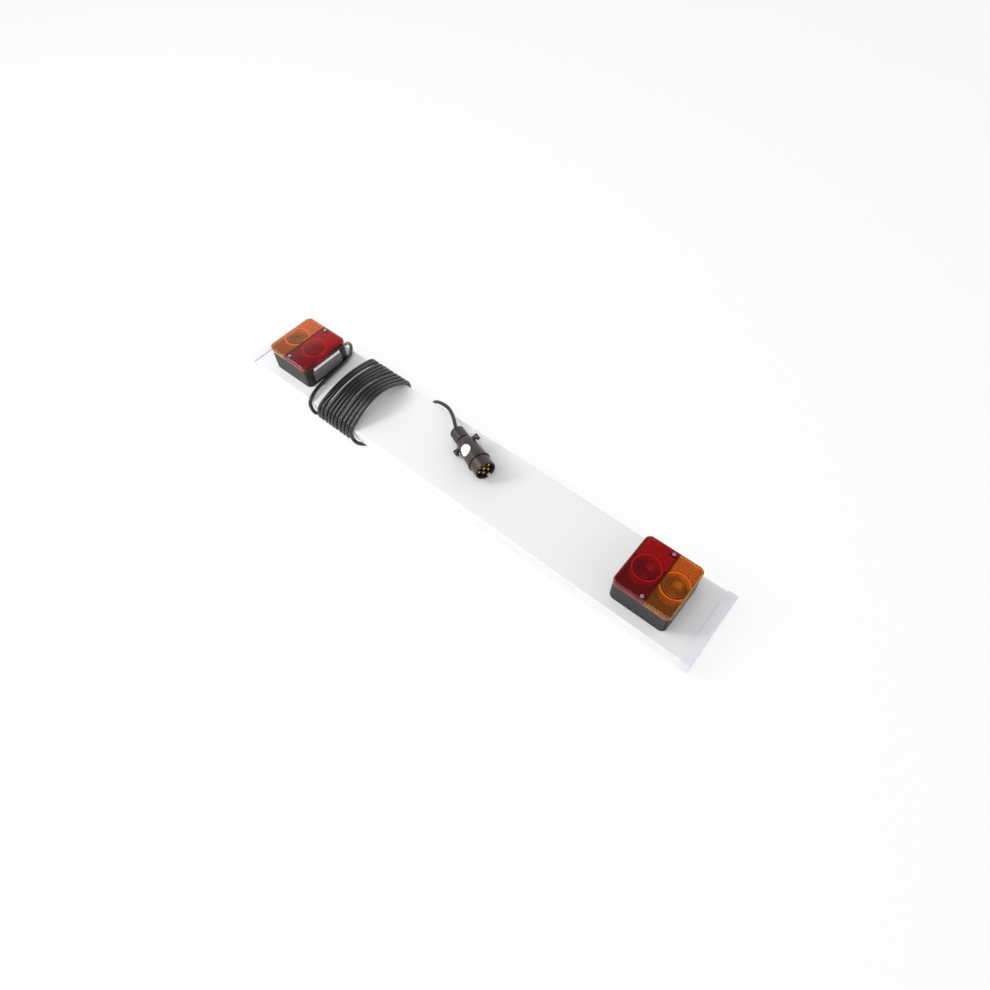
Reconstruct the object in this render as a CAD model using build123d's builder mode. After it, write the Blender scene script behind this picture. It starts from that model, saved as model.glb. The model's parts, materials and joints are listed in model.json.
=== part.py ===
from build123d import *
import os
from math import atan, cos, degrees, pi, radians, sin, tan

# Trailer lighting board: a white PVC channel with an end cap and a combination lamp at each end,
# a seven-core cable wound round it, and the cable's seven-pin plug. All sizes are millimetres.
# The origin is the centre of the board's front face. +X runs along the board to its right-hand
# lamp, +Y to its upper edge and +Z out of the face.

# Small round holes and shanks are drawn with this many flats
small_flat_count = 12

# Board: an extruded channel, open at the back
board_length = 976.0
board_width = 140.0
board_depth = 20.0
board_wall = 2.5
board_lip = 8.0             # returned edge along each side of the open back
board_edge_radius = 2.0

# End caps: moulded sleeves over the board's ends
cap_length = 17.0
cap_wall = 1.6
cap_end_wall = 2.0
cap_clearance = 0.1
cap_bevel = 1.0

# Lamp: a housing with a lens of two colours screwed down on it
lamp_from_end = 104.0       # lamp centre from the board's end
lens_length = 100.0         # along the board
lens_width = 102.0
lens_height = 10.0
lens_wall = 2.5
lens_corner_radius = 10.0
lens_bevel = 2.4
amber_length = 43.0         # outboard stretch of the lens
housing_height = 39.0
housing_wall = 2.5
housing_floor = 3.0
housing_inset = 0.5         # wall of the housing inside the lens's edge
partition_thickness = 2.0
seal_thickness = 1.0
fit_clearance = 0.3

# Optic of each colour: a deep collar inside the lens, of many flats
collar_radius = 23.5
collar_thickness = 2.0
collar_depth = 19.5
collar_flat_count = 24

# Lens screws, two beside the division of the colours
screw_inset = 8.0           # from the division, towards the board's middle
screw_edge = 7.0            # from the lens's long edges
screw_diameter = 4.0
screw_length = 22.0         # under the head
screw_head_diameter = 7.6
screw_head_height = 2.4
screw_recess_depth = 1.6
screw_recess_diameter = 9.2
screw_post_width = 8.0
screw_hole_clearance = 0.2

# Number-plate window in the housing's inboard wall
window_width = 64.0
window_height = 6.0
window_thickness = 2.2
window_below_rim = 6.0      # centre of the window under the housing's rim
recess_margin = 3.0
recess_depth = 1.2
recess_foot = 4.0           # lower edge of the recess over the board

# Bulbs: they lie across the board, each with its neck in a holder
bulb_height = 18.0          # axis over the board's face
bulb_offset = -6.0          # widest place of the glass along Y
bulb_flat_count = 12
glass_outline = ((-12.5, 4.0), (-9.0, 9.0), (0.0, 12.5), (8.0, 10.5), (16.0, 7.5), (30.0, 7.5))
holder_mouth = 18.0         # from the widest place of the glass
holder_wall = 1.5
holder_clearance = 0.2
pedestal_width = 9.0
pedestal_length = 8.0

# Fastenings of a lamp to the board
bolt_diameter = 5.0
bolt_spacing = 50.0
bolt_row = -30.0            # Y of the row
bolt_hole_clearance = 0.5
bolt_head_width = 8.0       # across the flats, as the nut
bolt_head_height = 3.5
bolt_tail = 2.0             # thread that stands out of the nut
nut_height = 4.0

# Cable grommet behind each lamp: a flange, and a waist through the board and the housing's floor
grommet_inboard = 6.0       # from the lamp's centre, towards the board's middle
grommet_row = 24.0          # Y of its centre
grommet_waist = 12.0
grommet_flange = 17.0
grommet_lip = 1.6
grommet_bore = 5.5          # grips the sheath
grommet_clearance = 0.1

# Plug: lengths run along its axis from the back of the gland nut
plug_back_x = -45.5
plug_back_y = 36.8
plug_yaw = -21.2            # degrees from +X
plug_roll = 22.0            # degrees about its axis, the ear at the upper edge of the board lifted
plug_seat_gap = 0.3
plug_flat_count = 24        # of the grip, the stop ring and the insert
gland_length = 27.5
gland_radius = 13.4
gland_back_wall = 4.0
gland_flat_count = 14
stub_radius = 8.5
stub_clearance = 0.2
shoulder_length = 8.5
shoulder_radius = 16.6
shoulder_back_radius = 11.0
shoulder_knee = (4.5, 15.0)  # length and radius where the shoulder turns
body_length = 46.0          # from the shoulder to the stop ring
body_radius = 19.6          # at the stop ring
ring_radius = 20.6
ring_length = 3.0
nose_length = 22.0
nose_radius = 18.4
nose_wall = 2.2
insert_length = 12.0
pin_recess = 5.0            # tips of the pins behind the rim of the nose
pin_reach = 15.0            # pins in front of the insert
pin_radius = 2.5
pin_flat_count = 8
pin_count = 6               # round the middle one
pin_circle = 10.2
key_width = 6.0
key_depth = 6.0
ear_reach = 26.0            # from the plug's axis
ear_length = 9.0
ear_thickness = 9.0
ear_back = 6.0              # from the back of the shoulder

# Cable, wound in one layer round the board; its loose stretches have six flats
cable_diameter = 7.0
cable_flat_count = 6
bend_share = 0.45           # of a run that the arc at its end may take
coil_left = -284.0
coil_right = -194.0
coil_band = 7.7             # thickness of the wound layer
coil_under_gap = 0.3        # under the board's back edges
coil_reach = 86.0           # furthest from the board's centre line
coil_shoulder = 4.5         # height of the corner where the arch starts
coil_crown = 36.0           # height of the corner over the board's centre line
coil_corner_radius = 15.0
coil_crown_radius = 110.0

# Derived heights and places
lamp_offset = board_length / 2 - lamp_from_end
lens_base = housing_height + seal_thickness
lens_top = lens_base + lens_height
lens_underside = lens_top - lens_wall
division_x = lamp_offset + lens_length / 2 - amber_length
base_length = lens_length - 2 * housing_inset
base_width = lens_width - 2 * housing_inset
chamber_left = lamp_offset - base_length / 2 + housing_wall
chamber_right = lamp_offset + base_length / 2 - housing_wall
chamber_width = base_width - 2 * housing_wall
red_chamber = (chamber_left, division_x - partition_thickness / 2)
amber_chamber = (division_x + partition_thickness / 2, chamber_right)
red_centre = sum(red_chamber) / 2
amber_centre = sum(amber_chamber) / 2
screw_places = [(division_x - screw_inset, side * (lens_width / 2 - screw_edge)) for side in (-1, 1)]
bolt_places = [(lamp_offset + side * bolt_spacing / 2, bolt_row) for side in (-1, 1)]
grommet_place = (lamp_offset - grommet_inboard, grommet_row)
window_z = housing_height - window_below_rim
grommet_foot = -board_wall - grommet_lip


# Board
with BuildPart() as board:
    with BuildSketch(Plane.YZ) as board_section:
        Rectangle(board_width, board_depth, align=(Align.CENTER, Align.MAX))
        front_corners = board_section.vertices().group_by(Axis.Y)[-1]
        fillet(front_corners, radius=board_edge_radius)
        with Locations((0, -board_wall)):
            Rectangle(board_width - 2 * board_wall, board_depth - 2 * board_wall,
                      align=(Align.CENTER, Align.MAX), mode=Mode.SUBTRACT)
        with Locations((0, -board_depth)):
            Rectangle(board_width - 2 * (board_wall + board_lip), board_wall,
                      align=(Align.CENTER, Align.MIN), mode=Mode.SUBTRACT)
    extrude(amount=board_length / 2, both=True)
    with BuildSketch(Plane.XY):
        for side in (-1, 1):
            with Locations(*[(side * x, y) for x, y in bolt_places]):
                RegularPolygon((bolt_diameter + bolt_hole_clearance) / 2, small_flat_count)
            with Locations((side * grommet_place[0], grommet_place[1])):
                RegularPolygon(grommet_waist / 2, small_flat_count)
    extrude(amount=-board_wall, mode=Mode.SUBTRACT)

# Right-hand end cap, a sleeve that is closed at its outer end
cap_width = board_width + 2 * (cap_clearance + cap_wall)
cap_height = board_depth + 2 * (cap_clearance + cap_wall)
cap_top = cap_clearance + cap_wall
cap_end = board_length / 2 + cap_end_wall
with BuildPart() as end_cap:
    with BuildSketch(Plane.YZ.offset(cap_end)):
        with Locations((0, cap_top)):
            Rectangle(cap_width, cap_height, align=(Align.CENTER, Align.MAX))
    extrude(amount=-cap_length)
    outer_edges = end_cap.edges().filter_by(Axis.X) + end_cap.faces().sort_by(Axis.X)[-1].edges()
    chamfer(outer_edges, length=cap_bevel)
    with BuildSketch(Plane.YZ.offset(cap_end - cap_end_wall)):
        with Locations((0, cap_clearance)):
            Rectangle(board_width + 2 * cap_clearance, board_depth + 2 * cap_clearance,
                      align=(Align.CENTER, Align.MAX))
    extrude(amount=cap_end_wall - cap_length, mode=Mode.SUBTRACT)

# Lamp housing of the right-hand lamp
with BuildPart() as housing:
    with BuildSketch(Plane.XY):
        with Locations((lamp_offset, 0)):
            RectangleRounded(base_length, base_width, lens_corner_radius)
    extrude(amount=housing_height)
    with BuildSketch(Plane.XY.offset(housing_floor)):
        for left, right in (red_chamber, amber_chamber):
            with Locations(((left + right) / 2, 0)):
                Rectangle(right - left, chamber_width)
    extrude(amount=housing_height, mode=Mode.SUBTRACT)
    # light baffle between the colours, and the posts of the lens screws, up to the lens
    with BuildSketch(Plane.XY.offset(housing_floor)):
        with Locations((division_x, 0)):
            Rectangle(partition_thickness, chamber_width)
        with Locations(*screw_places):
            Rectangle(screw_post_width, screw_post_width)
    extrude(amount=lens_underside - housing_floor)
    with BuildSketch(Plane.XY.offset(lens_underside)):
        with Locations(*screw_places):
            RegularPolygon((screw_diameter + screw_hole_clearance) / 2, small_flat_count)
    extrude(amount=-screw_length, mode=Mode.SUBTRACT)
    # holes in the floor for the bolts and the grommet
    with BuildSketch(Plane.XY):
        with Locations(*bolt_places):
            RegularPolygon((bolt_diameter + bolt_hole_clearance) / 2, small_flat_count)
        with Locations(grommet_place):
            RegularPolygon(grommet_waist / 2, small_flat_count)
    extrude(amount=housing_floor, mode=Mode.SUBTRACT)
    # sunk panel of the inboard wall, and the slot for the window
    recess_plane = Plane.YZ.offset(lamp_offset - base_length / 2)
    recess_top = window_z + window_height / 2 + recess_margin
    with BuildSketch(recess_plane):
        with Locations((0, recess_foot)):
            Rectangle(window_width + 2 * recess_margin, recess_top - recess_foot,
                      align=(Align.CENTER, Align.MIN))
    extrude(amount=recess_depth, mode=Mode.SUBTRACT)
    with BuildSketch(recess_plane):
        with Locations((0, window_z)):
            Rectangle(window_width, window_height)
    extrude(amount=housing_wall, mode=Mode.SUBTRACT)

# Clear window of the number-plate light
with BuildPart() as plate_window:
    with BuildSketch(Plane.YZ.offset(chamber_left)):
        with Locations((0, window_z)):
            Rectangle(window_width - fit_clearance, window_height - fit_clearance)
    extrude(amount=-window_thickness)

# Rubber seals between the rims of the housings and the lenses
with BuildPart() as lens_seals:
    with BuildSketch(Plane.XY.offset(housing_height)):
        with Locations((lamp_offset, 0)):
            RectangleRounded(base_length, base_width, lens_corner_radius)
            RectangleRounded(lens_length - 2 * lens_wall, lens_width - 2 * lens_wall,
                             lens_corner_radius - lens_wall, mode=Mode.SUBTRACT)
    extrude(amount=seal_thickness)
    mirror(about=Plane.YZ)


def lens_section(left, right, chamber):
    """One colour of the lens: its stretch of the shell, with the collar over its chamber."""
    with BuildPart() as section:
        with BuildSketch(Plane.XY.offset(lens_base)):
            with Locations((lamp_offset, 0)):
                RectangleRounded(lens_length, lens_width, lens_corner_radius)
        extrude(amount=lens_height)
        chamfer(section.faces().sort_by(Axis.Z)[-1].edges(), length=lens_bevel)
        with BuildSketch(Plane.XY.offset(lens_base)):
            with Locations((lamp_offset, 0)):
                RectangleRounded(lens_length - 2 * lens_wall, lens_width - 2 * lens_wall,
                                 lens_corner_radius - lens_wall)
        extrude(amount=lens_height - lens_wall, mode=Mode.SUBTRACT)
        with BuildSketch(Plane.XY.offset(lens_underside)):
            with Locations((sum(chamber) / 2, 0)):
                RegularPolygon(collar_radius, collar_flat_count)
                RegularPolygon(collar_radius - collar_thickness, collar_flat_count, mode=Mode.SUBTRACT)
                Rectangle(chamber[1] - chamber[0] - 2 * fit_clearance, chamber_width,
                          mode=Mode.INTERSECT)
        extrude(amount=-collar_depth)
        with BuildSketch(Plane.XY.offset(lens_top)):
            with Locations(((left + right) / 2, 0)):
                Rectangle(right - left, lens_width)
        extrude(amount=-(lens_wall + collar_depth), mode=Mode.INTERSECT)
    return section.part


# Red stretch of the lens, with the recesses of its two screws
with BuildPart() as red_lens:
    add(lens_section(lamp_offset - lens_length / 2, division_x, red_chamber))
    with BuildSketch(Plane.XY.offset(lens_top)):
        with Locations(*screw_places):
            RegularPolygon(screw_recess_diameter / 2, small_flat_count)
    extrude(amount=-screw_recess_depth, mode=Mode.SUBTRACT)
    with BuildSketch(Plane.XY.offset(lens_top)):
        with Locations(*screw_places):
            RegularPolygon((screw_diameter + screw_hole_clearance) / 2, small_flat_count)
    extrude(amount=-lens_wall, mode=Mode.SUBTRACT)

# Amber stretch of the lens
with BuildPart() as amber_lens:
    add(lens_section(division_x, lamp_offset + lens_length / 2, amber_chamber))

# Lens screws of both lamps
screw_seat = lens_top - screw_recess_depth
with BuildPart() as lens_screws:
    with BuildSketch(Plane.XY.offset(screw_seat)):
        with Locations(*screw_places):
            RegularPolygon(screw_head_diameter / 2, small_flat_count)
    extrude(amount=screw_head_height)
    with BuildSketch(Plane.XY.offset(screw_seat)):
        with Locations(*screw_places):
            RegularPolygon(screw_diameter / 2, small_flat_count)
    extrude(amount=-screw_length)
    mirror(about=Plane.YZ)


def bulb_section(x, place):
    """Plane across a bulb at a distance from the widest place of its glass."""
    return Plane(origin=(x, bulb_offset + place, bulb_height), x_dir=(1, 0, 0), z_dir=(0, 1, 0))


# Glasses of the four bulbs
with BuildPart() as bulb_glasses:
    for x in (red_centre, amber_centre):
        for place, radius in glass_outline:
            with BuildSketch(bulb_section(x, place)):
                RegularPolygon(radius, bulb_flat_count)
        loft(ruled=True)
    mirror(about=Plane.YZ)

# Their holders: each a cup round the neck, on a pedestal that stands on the housing's floor
neck_end, neck_radius = glass_outline[-1]
cup_radius = neck_radius + holder_clearance + holder_wall
with BuildPart() as bulb_holders:
    for x in (red_centre, amber_centre):
        with BuildSketch(Plane.XY.offset(housing_floor)):
            with Locations((x, bulb_offset + (holder_mouth + neck_end) / 2)):
                Rectangle(pedestal_width, pedestal_length)
        extrude(amount=bulb_height - housing_floor)
        with BuildSketch(bulb_section(x, holder_mouth)):
            RegularPolygon(cup_radius, bulb_flat_count)
        extrude(amount=neck_end + holder_wall - holder_mouth)
        with BuildSketch(bulb_section(x, holder_mouth)):
            RegularPolygon(neck_radius + holder_clearance, bulb_flat_count)
        extrude(amount=neck_end - holder_mouth, mode=Mode.SUBTRACT)
    mirror(about=Plane.YZ)

# Mounting bolts of both lamps, with their heads on the floors of the housings
bolt_end = -board_wall - nut_height - bolt_tail
with BuildPart() as mounting_bolts:
    with BuildSketch(Plane.XY.offset(housing_floor)):
        with Locations(*bolt_places):
            RegularPolygon(bolt_head_width / 2, 6, major_radius=False)
    extrude(amount=bolt_head_height)
    with BuildSketch(Plane.XY.offset(housing_floor)):
        with Locations(*bolt_places):
            RegularPolygon(bolt_diameter / 2, small_flat_count)
    extrude(amount=bolt_end - housing_floor)
    mirror(about=Plane.YZ)

# Their nuts behind the board
with BuildPart() as mounting_nuts:
    with BuildSketch(Plane.XY.offset(-board_wall)):
        with Locations(*bolt_places):
            RegularPolygon(bolt_head_width / 2, 6, major_radius=False)
            RegularPolygon((bolt_diameter + screw_hole_clearance) / 2, small_flat_count,
                           mode=Mode.SUBTRACT)
    extrude(amount=-nut_height)
    mirror(about=Plane.YZ)

# Rubber grommets of both lamps
with BuildPart() as cable_grommets:
    with BuildSketch(Plane.XY.offset(grommet_foot)):
        with Locations(grommet_place):
            RegularPolygon(grommet_flange / 2, small_flat_count)
    extrude(amount=grommet_lip)
    with BuildSketch(Plane.XY.offset(-board_wall)):
        with Locations(grommet_place):
            RegularPolygon(grommet_waist / 2 - grommet_clearance, small_flat_count)
    extrude(amount=board_wall + housing_floor)
    with BuildSketch(Plane.XY.offset(grommet_foot)):
        with Locations(grommet_place):
            RegularPolygon(grommet_bore / 2, small_flat_count)
    extrude(amount=grommet_lip + board_wall + housing_floor, mode=Mode.SUBTRACT)
    mirror(about=Plane.YZ)

# Plug: it lies on the board on its shoulder and its stop ring
shoulder_end = gland_length + shoulder_length
ring_start = shoulder_end + body_length
nose_start = ring_start + ring_length
plug_length = nose_start + nose_length
plug_pitch = degrees(atan((ring_radius - shoulder_radius) / (ring_start - shoulder_end)))
plug_axis = Vector(1, 0, 0).rotate(Axis.Y, -plug_pitch).rotate(Axis.Z, plug_yaw)
plug_upright = Vector(0, 0, 1).rotate(Axis.Y, -plug_pitch).rotate(Axis.Z, plug_yaw)
plug_up = plug_upright.rotate(Axis((0, 0, 0), plug_axis), plug_roll)
plug_back_z = (shoulder_radius * cos(radians(plug_pitch)) + plug_seat_gap
               - shoulder_end * sin(radians(plug_pitch)))
plug_back = Vector(plug_back_x, plug_back_y, plug_back_z)
cavity_radius = nose_radius - nose_wall
insert_face = plug_length - pin_recess - pin_reach


def plug_section(place):
    """Plane across the plug at a distance along its axis, with its Y towards the top of the plug."""
    across = plug_up.cross(plug_axis)
    return Plane(origin=plug_back + plug_axis * place, x_dir=across, z_dir=plug_axis)


with BuildPart() as plug_body:
    # shoulder and grip
    grip_outline = ((gland_length, shoulder_back_radius),
                    (gland_length + shoulder_knee[0], shoulder_knee[1]),
                    (shoulder_end, shoulder_radius), (ring_start, body_radius))
    for place, radius in grip_outline:
        with BuildSketch(plug_section(place)):
            RegularPolygon(radius, plug_flat_count)
    loft(ruled=True)
    # threaded stub under the gland nut
    with BuildSketch(plug_section(gland_back_wall + stub_clearance)):
        RegularPolygon(stub_radius, small_flat_count)
    extrude(amount=gland_length - gland_back_wall - stub_clearance)
    # stop ring and nose
    with BuildSketch(plug_section(ring_start)):
        RegularPolygon(ring_radius, plug_flat_count)
    extrude(amount=ring_length)
    with BuildSketch(plug_section(nose_start)):
        Circle(nose_radius)
    extrude(amount=nose_length)
    # two locking ears
    with BuildSketch(plug_section(gland_length + ear_back)):
        Rectangle(2 * ear_reach, ear_thickness)
    extrude(amount=ear_length)
    # open nose, and the key slot in its lower side
    with BuildSketch(plug_section(plug_length)):
        Circle(cavity_radius)
    extrude(amount=-(plug_length - insert_face + insert_length), mode=Mode.SUBTRACT)
    with BuildSketch(plug_section(plug_length)):
        with Locations((0, -nose_radius + nose_wall / 2)):
            Rectangle(key_width, 2 * nose_wall)
    extrude(amount=-key_depth, mode=Mode.SUBTRACT)

# Gland nut over the body's threaded stub
with BuildPart() as plug_gland_nut:
    with BuildSketch(plug_section(0)):
        RegularPolygon(gland_radius, gland_flat_count)
    extrude(amount=gland_length)
    with BuildSketch(plug_section(gland_back_wall)):
        RegularPolygon(stub_radius + stub_clearance, small_flat_count)
    extrude(amount=gland_length, mode=Mode.SUBTRACT)

# Contact insert at the bottom of the nose
with BuildPart() as plug_insert:
    with BuildSketch(plug_section(insert_face)):
        RegularPolygon(cavity_radius - stub_clearance, plug_flat_count)
    extrude(amount=-insert_length)

# Seven brass contact pins on the insert
with BuildPart() as plug_pins:
    with BuildSketch(plug_section(insert_face)):
        RegularPolygon(pin_radius, pin_flat_count)
        with PolarLocations(pin_circle, pin_count):
            RegularPolygon(pin_radius, pin_flat_count)
    extrude(amount=pin_reach)

# Wound cable: one closed band round the board, flat behind it and arched over its face
coil_floor = -board_depth - coil_under_gap - coil_band
with BuildPart() as cable_coil:
    with BuildSketch(Plane.YZ.offset(coil_left)) as coil_section:
        with BuildLine():
            Polyline((-coil_reach, coil_floor), (coil_reach, coil_floor), (coil_reach, coil_shoulder),
                     (0, coil_crown), (-coil_reach, coil_shoulder), close=True)
        make_face()
        fillet(coil_section.vertices().sort_by(Axis.Y)[:-1], radius=coil_corner_radius)
        fillet(coil_section.vertices().sort_by(Axis.Y)[-1], radius=coil_crown_radius)
        offset(amount=-coil_band, mode=Mode.SUBTRACT)
    extrude(amount=coil_right - coil_left)

# Routes of the two loose stretches, point by point along the cable
cable_under = -24.2         # height of the cable's axis behind the board
entry_y, entry_z = -78.9, -20.9
exit_y, exit_z = -73.9, -23.8
start_route = [
    (-grommet_place[0], grommet_place[1], grommet_foot), (-378, 24, -15.5), (-377, 44, cable_under),
    (-374, 85, cable_under), (-364, 85, 4.5), (-350, 70, 7.5), (-331.5, 54, 7.2), (-326.5, -4, 7),
    (-310, -84, 6), (-303, entry_y, entry_z), (coil_left, entry_y, entry_z),
]
plug_lead = 18.0            # straight stretch of the cable behind the gland nut
tail_route = [
    (coil_right, exit_y, exit_z), (-174, exit_y, exit_z), (-152, -42, cable_under),
    (-137, 25, cable_under), (-133.5, 85, cable_under), (-123, 85, 5), (-104, 69, 8.5),
    tuple(plug_back - plug_axis * plug_lead), tuple(plug_back),
]


def bend_radii(route):
    """Radius of the arc at each inner point of a route, as large as its two runs allow."""
    points = [Vector(*point) for point in route]
    radii = []
    for before, corner, after in zip(points, points[1:], points[2:]):
        arriving = corner - before
        leaving = after - corner
        half_turn = radians(arriving.get_angle(leaving)) / 2
        radii.append(bend_share * min(arriving.length, leaving.length) / tan(half_turn))
    return radii


def make_tube(route):
    """Tube along a route of straight runs joined by tangent arcs."""
    start = Vector(*route[0])
    with BuildPart() as tube:
        with BuildLine() as path:
            FilletPolyline(*route, radius=bend_radii(route))
        with BuildSketch(Plane(origin=start, z_dir=Vector(*route[1]) - start)):
            RegularPolygon(cable_diameter / 2, cable_flat_count)
        sweep(path=path.wires()[0])
    return tube.part, path.wires()[0].length


cable_start, start_length = make_tube(start_route)
cable_tail, tail_length = make_tube(tail_route)

# Every piece; the left-hand lamp and cap mirror the right-hand ones
pieces = {
    "board": board.part,
    "lens_seals": lens_seals.part,
    "lens_screws": lens_screws.part,
    "bulb_glasses": bulb_glasses.part,
    "bulb_holders": bulb_holders.part,
    "mounting_bolts": mounting_bolts.part,
    "mounting_nuts": mounting_nuts.part,
    "cable_grommets": cable_grommets.part,
    "plug_body": plug_body.part,
    "plug_gland_nut": plug_gland_nut.part,
    "plug_insert": plug_insert.part,
    "plug_pins": plug_pins.part,
    "cable_start": cable_start,
    "cable_coil": cable_coil.part,
    "cable_tail": cable_tail,
}
paired_pieces = {
    "end_cap": end_cap.part,
    "housing": housing.part,
    "red_lens": red_lens.part,
    "amber_lens": amber_lens.part,
    "plate_window": plate_window.part,
}
for name, piece in paired_pieces.items():
    pieces[name + "_right"] = piece
    pieces[name + "_left"] = mirror(piece, about=Plane.YZ)

os.makedirs("parts", exist_ok=True)
for name, piece in pieces.items():
    piece.label = name
    export_step(piece, f"parts/{name}.step")

# Bends and volumes of the loose stretches
cable_area = cable_flat_count / 2 * sin(2 * pi / cable_flat_count) * (cable_diameter / 2) ** 2
for name, route, tube, length in (("cable_start", start_route, cable_start, start_length),
                                  ("cable_tail", tail_route, cable_tail, tail_length)):
    print(name, "radii", [round(radius, 1) for radius in bend_radii(route)])
    print(name, "length", round(length, 1), "volume", round(tube.volume), "of", round(cable_area * length))
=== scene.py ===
"""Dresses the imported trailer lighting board: lamps, cable, plug, finishes, studio and camera.

Sizes are millimetres in the part's own frame: the origin is the centre of the board's front face,
+X runs along the board to its right-hand lamp, +Y to its upper edge and +Z out of the face.
Meshes are scaled to metres when they are published.
"""
import json
import logging
from dataclasses import dataclass
from enum import Enum
from math import cos, pi, radians, sin

import bmesh
import bpy
from mathutils import Matrix, Vector


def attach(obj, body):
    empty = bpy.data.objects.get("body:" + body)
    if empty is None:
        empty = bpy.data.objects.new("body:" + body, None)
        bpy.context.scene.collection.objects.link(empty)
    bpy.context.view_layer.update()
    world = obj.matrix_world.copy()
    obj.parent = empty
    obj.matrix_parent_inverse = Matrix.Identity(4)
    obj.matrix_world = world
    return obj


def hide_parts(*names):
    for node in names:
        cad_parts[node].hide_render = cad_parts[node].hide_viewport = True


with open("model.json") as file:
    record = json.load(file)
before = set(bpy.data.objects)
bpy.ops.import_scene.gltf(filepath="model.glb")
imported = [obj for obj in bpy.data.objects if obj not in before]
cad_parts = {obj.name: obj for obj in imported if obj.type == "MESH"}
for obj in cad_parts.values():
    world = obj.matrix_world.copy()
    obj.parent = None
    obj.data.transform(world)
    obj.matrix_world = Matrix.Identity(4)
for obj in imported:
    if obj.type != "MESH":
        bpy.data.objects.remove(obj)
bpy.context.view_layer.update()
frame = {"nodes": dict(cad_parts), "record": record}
log = logging.getLogger("lighting_board")

MM = 0.001
ROOT = "root"
# name of the mesh attribute that marks where painted shade goes
PAINTED_SHADE = "shade"
LEVEL = 0.01  # heights closer than this are the same, mm
ON_PLANE = 0.001  # a vertex this close to a cut lies on it, mm
MERGE = 0.0001  # vertices closer than this are one, mm

Point = tuple[float, float, float]
Outline = tuple[tuple[float, float], ...]


class Side(Enum):
    """The two lamps; the value is the sign of X."""

    RIGHT = 1
    LEFT = -1

    @property
    def word(self) -> str:
        """Name of the side as the nodes write it."""
        return self.name.lower()


class LensColour(Enum):
    """The two stretches of a lens."""

    RED = "red"
    AMBER = "amber"


# Node trees

def linear(code: str) -> tuple[float, float, float, float]:
    """Turn an sRGB hex code into linear colour.

    Args:
        code: six hex digits, with or without a leading hash.

    Returns:
        Linear red, green and blue, and an alpha of 1.
    """
    digits = code.lstrip("#")
    values = [int(digits[place:place + 2], 16) / 255 for place in (0, 2, 4)]
    red, green, blue = [v / 12.92 if v <= 0.04045 else ((v + 0.055) / 1.055) ** 2.4 for v in values]
    return red, green, blue, 1.0


def per_metre(size: float) -> float:
    """Texture scale that gives features of a size in millimetres."""
    return 1 / (size * MM)


def add_node(tree: bpy.types.NodeTree, kind: str, inputs: dict | None = None, **settings) -> bpy.types.Node:
    """Add a node with its settings, its input values and its incoming links.

    Args:
        tree: the node tree that gets the node.
        kind: Blender's name of the node type.
        inputs: value or source socket for each input, by name or number.
        settings: properties of the node.

    Returns:
        The new node.
    """
    node = tree.nodes.new(kind)
    for name, value in settings.items():
        setattr(node, name, value)
    for key, value in (inputs or {}).items():
        if isinstance(value, bpy.types.NodeSocket):
            tree.links.new(value, node.inputs[key])
        else:
            node.inputs[key].default_value = value
    return node


def empty_material(name: str) -> bpy.types.Material:
    """Make a material whose node tree is empty."""
    material = bpy.data.materials.new(name)
    material.use_nodes = True
    material.node_tree.nodes.clear()
    return material


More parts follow.
